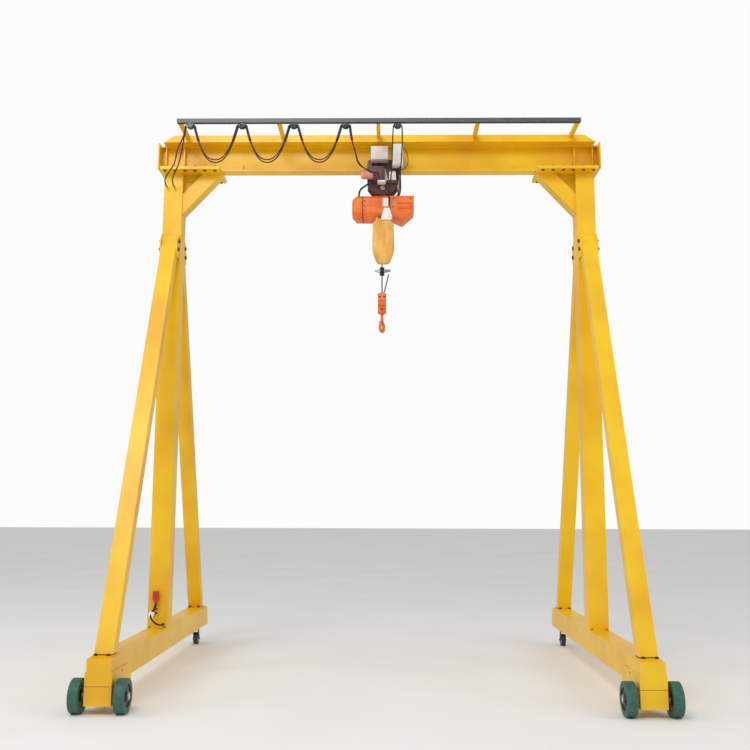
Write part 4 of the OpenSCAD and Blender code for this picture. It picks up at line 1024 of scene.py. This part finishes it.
shape = bmesh.new()
BAG_SIDES = 72
depths = [0, 0.012, 0.03] + [0.03 + 0.77 * k / 26 for k in range(1, 27)]
depths += [0.80 + 0.20 * k / 14 for k in range(1, 15)]
rows = [[shape.verts.new(bag_ring(d, k / BAG_SIDES)) for k in range(BAG_SIDES)] for d in depths]
for upper_row, lower_row in zip(rows, rows[1:]):
    for k in range(BAG_SIDES):
        beside = (k + 1) % BAG_SIDES
        shape.faces.new((upper_row[k], upper_row[beside], lower_row[beside], lower_row[k]))
shape.faces.new(rows[-1])
bmesh.ops.recalc_face_normals(shape, faces=shape.faces)
bag = from_shape("chain_bag_shell", shape)
only(bag)
if sum(face.normal.dot(face.center - BAG_MID) for face in bag.data.polygons) < 0:
    bag.data.flip_normals()
for kind, settings in (("SOLIDIFY", {"thickness": 2.2 * MM, "offset": -1}),
                       ("SUBSURF", {"levels": 1, "render_levels": 1})):
    extra = bag.modifiers.new(kind, kind)
    for key, value in settings.items():
        setattr(extra, key, value)
    bpy.ops.object.modifier_apply(modifier=kind)
fit(smooth(bag, 75), CANVAS, "trolley", "bag_fabric", "chain_bag")
print("the bag's shell has", len(bag.data.polygons), "faces")

# %% Hem, straps and eyelets
hem = tube("bag_hem", [bag_ring(0.016, k / BAG_SIDES) for k in range(BAG_SIDES + 1)], 3.0 * MM, around=2)
straps = []
for x in (BAG_MID.x - 0.062, BAG_MID.x + 0.062):
    strap = block("strap", (x - 9 * MM, low.y - 0.5 * MM, high.z - 0.105),
                  (x + 9 * MM, low.y + 2.5 * MM, high.z + 0.004))
    edit(strap, faces=lambda face: abs(face.normal.y) > 0.9)
    bpy.ops.mesh.subdivide(number_cuts=4)
    done()
    straps.append(soften(strap, 0.8 * MM, 2, turn=60))
fit(smooth(join("bag_hem_and_straps", [hem] + straps)), CANVAS, "trolley", "bag_fabric")
rivets = []
for x in (BAG_MID.x - 0.062, BAG_MID.x + 0.062):
    for z in (high.z - 0.020, high.z - 0.090):
        rivet = bar("rivet", (x, low.y + 1 * MM, z), (x, low.y - 1.6 * MM, z), 4 * MM, 20)
        push_in(rivet, (0, -1, 0), [(1.4 * MM, -0.8 * MM)])
        rivets.append(rivet)
fit(smooth(join("bag_rivets", rivets)), ZINC, "trolley", "zinc_steel")

# %% [markdown]
# ## Carriers, wires and small fittings
# Each cable carrier gets the clamp plate and the two screws that hold its cables. Thin control wires run down
# beside the boxes on the trolley, and a short thick lead joins the drive to the hoist.

# %% Clamp plates
for i, body in enumerate(("cable_carrier_1", "cable_carrier_2", "cable_carrier_3", "tow_carrier")):
    x = CLAMP_X + (i + 1) * STEP
    low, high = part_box(body)
    plate = block("clamp", (x - 17 * MM, low.y - 2.5 * MM, 4.990), (x + 17 * MM, low.y + 0.5 * MM, 5.008))
    soften(plate, 1.5 * MM, 2)
    screws = [hex_bolt("screw", (x + dx, low.y - 2.5 * MM, 5.0), (0, -1, 0), 5 * MM) for dx in (-10 * MM, 10 * MM)]
    fit(smooth(join(body + "_clamp", [plate] + screws)), DARK_STEEL, body, "zinc_steel")

# %% Wires on the trolley
def wire(name, points, radius, finish, steps=6):
    piece = tube(name, through(points, steps), radius)
    return fit(piece, finish, "trolley", "cable_rubber")


wire("drive_to_hoist_lead", [(-0.060, -0.150, 4.600), (-0.085, -0.152, 4.585), (-0.125, -0.150, 4.555),
                             (-0.165, -0.140, 4.530), (-0.185, -0.120, 4.500), (-0.190, -0.085, 4.462)],
     9 * MM, BLACK_SHEATH)
wire("box_side_wire", [(0.236, -0.150, 4.930), (0.262, -0.150, 4.915), (0.282, -0.150, 4.86), (0.284, -0.145, 4.79),
                       (0.262, -0.135, 4.745), (0.225, -0.125, 4.725), (0.178, -0.110, 4.700)], 3 * MM, BLACK_SHEATH)
wire("brake_wire", [(0.070, -0.205, 4.803), (0.074, -0.222, 4.77), (0.086, -0.226, 4.68), (0.098, -0.222, 4.56),
                    (0.098, -0.180, 4.47), (0.092, -0.140, 4.43)], 3 * MM, BLACK_SHEATH)

route = [(0.196, -0.130, 4.748), (0.199, -0.128, 4.66), (0.203, -0.118, 4.57), (0.196, -0.100, 4.50),
         (0.176, -0.085, LOW_Z + 0.222)]
bundle = [tube(f"bundle_{i}", through([(x + dx, y, z) for x, y, z in route], 6), 7 * MM)
          for i, dx in enumerate((-0.004, 0.011))]
fit(join("box_to_hoist_leads", bundle), BLACK_SHEATH, "trolley", "cable_rubber")

# %% Control box door, hinges and lock
low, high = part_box("control_box")
door = soften(block("door", (low.x + 8 * MM, low.y - 4 * MM, low.z + 9 * MM),
                    (low.x + 0.100, low.y + 1 * MM, high.z - 9 * MM)), 2.5 * MM, 3)
push_in(door, (0, -1, 0), [(6 * MM, -1 * MM)])
fit(smooth(door), PALE, "trolley", "pale_paint")
edge_strip = soften(block("strip", (high.x - 4 * MM, low.y + 4 * MM, low.z + 4 * MM),
                          (high.x + 3 * MM, high.y - 4 * MM, high.z - 4 * MM)), 2 * MM, 2)
HINGE_X, FITTING_Y, LOCK_X, LOCK_Z = low.x + 6 * MM, low.y - 3 * MM, low.x + 0.088, low.z + 0.105
hinges = [soften(bar("hinge", (HINGE_X, FITTING_Y, z), (HINGE_X, FITTING_Y, z + 22 * MM), 3.5 * MM, 16), 0.8 * MM, 2)
          for z in (low.z + 0.030, high.z - 0.055)]
lock = bar("lock", (LOCK_X, FITTING_Y, LOCK_Z), (LOCK_X, FITTING_Y - 5 * MM, LOCK_Z), 6 * MM, 24)
push_in(lock, (0, -1, 0), [(2 * MM, -1.5 * MM)])
fit(smooth(join("control_box_fittings", [edge_strip, lock] + hinges)), GREY, "trolley", "pale_paint")
print("small fittings done")

# %% [markdown]
# ## Floor and light
# The crane stands on a plain pale floor under three big soft lamps: one high in front, one at each side.

# %% Floor and lamps
bpy.ops.mesh.primitive_plane_add(size=240, location=(0, 0, 0))
floor = settle(bpy.context.object, "floor")
finish, shader = start("pale_studio_floor", Roughness=0.7)
feed(finish, shader, "Base Color",
     ramp(finish, grain(finish, 1.5), [(0.3, linear("#F3F3F1")), (0.7, linear("#F8F8F6"))]))
floor.data.materials.append(finish)
world = bpy.data.worlds.new("studio")
bpy.context.scene.world = world
world.use_nodes = True
glow = world.node_tree.nodes["Background"]
glow.inputs["Color"].default_value = linear("#FFFFFF")
seen = world.node_tree.nodes.new("ShaderNodeLightPath").outputs["Is Camera Ray"]
level = world.node_tree.nodes.new("ShaderNodeMapRange")
world.node_tree.links.new(seen, level.inputs["Value"])
level.inputs["To Min"].default_value, level.inputs["To Max"].default_value = 0.60, 0.97
world.node_tree.links.new(level.outputs["Result"], glow.inputs["Strength"])


def lamp(name, place, target, size, power):
    data = bpy.data.lights.new(name, "AREA")
    data.shape, data.size, data.energy = "DISK", size, power
    made = bpy.data.objects.new(name, data)
    made.location = place
    made.rotation_euler = (Vector(target) - Vector(place)).to_track_quat("-Z", "Y").to_euler()
    bpy.context.scene.collection.objects.link(made)


lamp("high_front", (-3, -9, 10), (0, 0, 3), 5, 470)
lamp("left_side", (-9, -3, 7), (0, 0, 2.5), 4, 120)
lamp("right_side", (8, -5, 6), (0, 0, 2.5), 4, 100)
bpy.context.scene.view_settings.view_transform = "Standard"
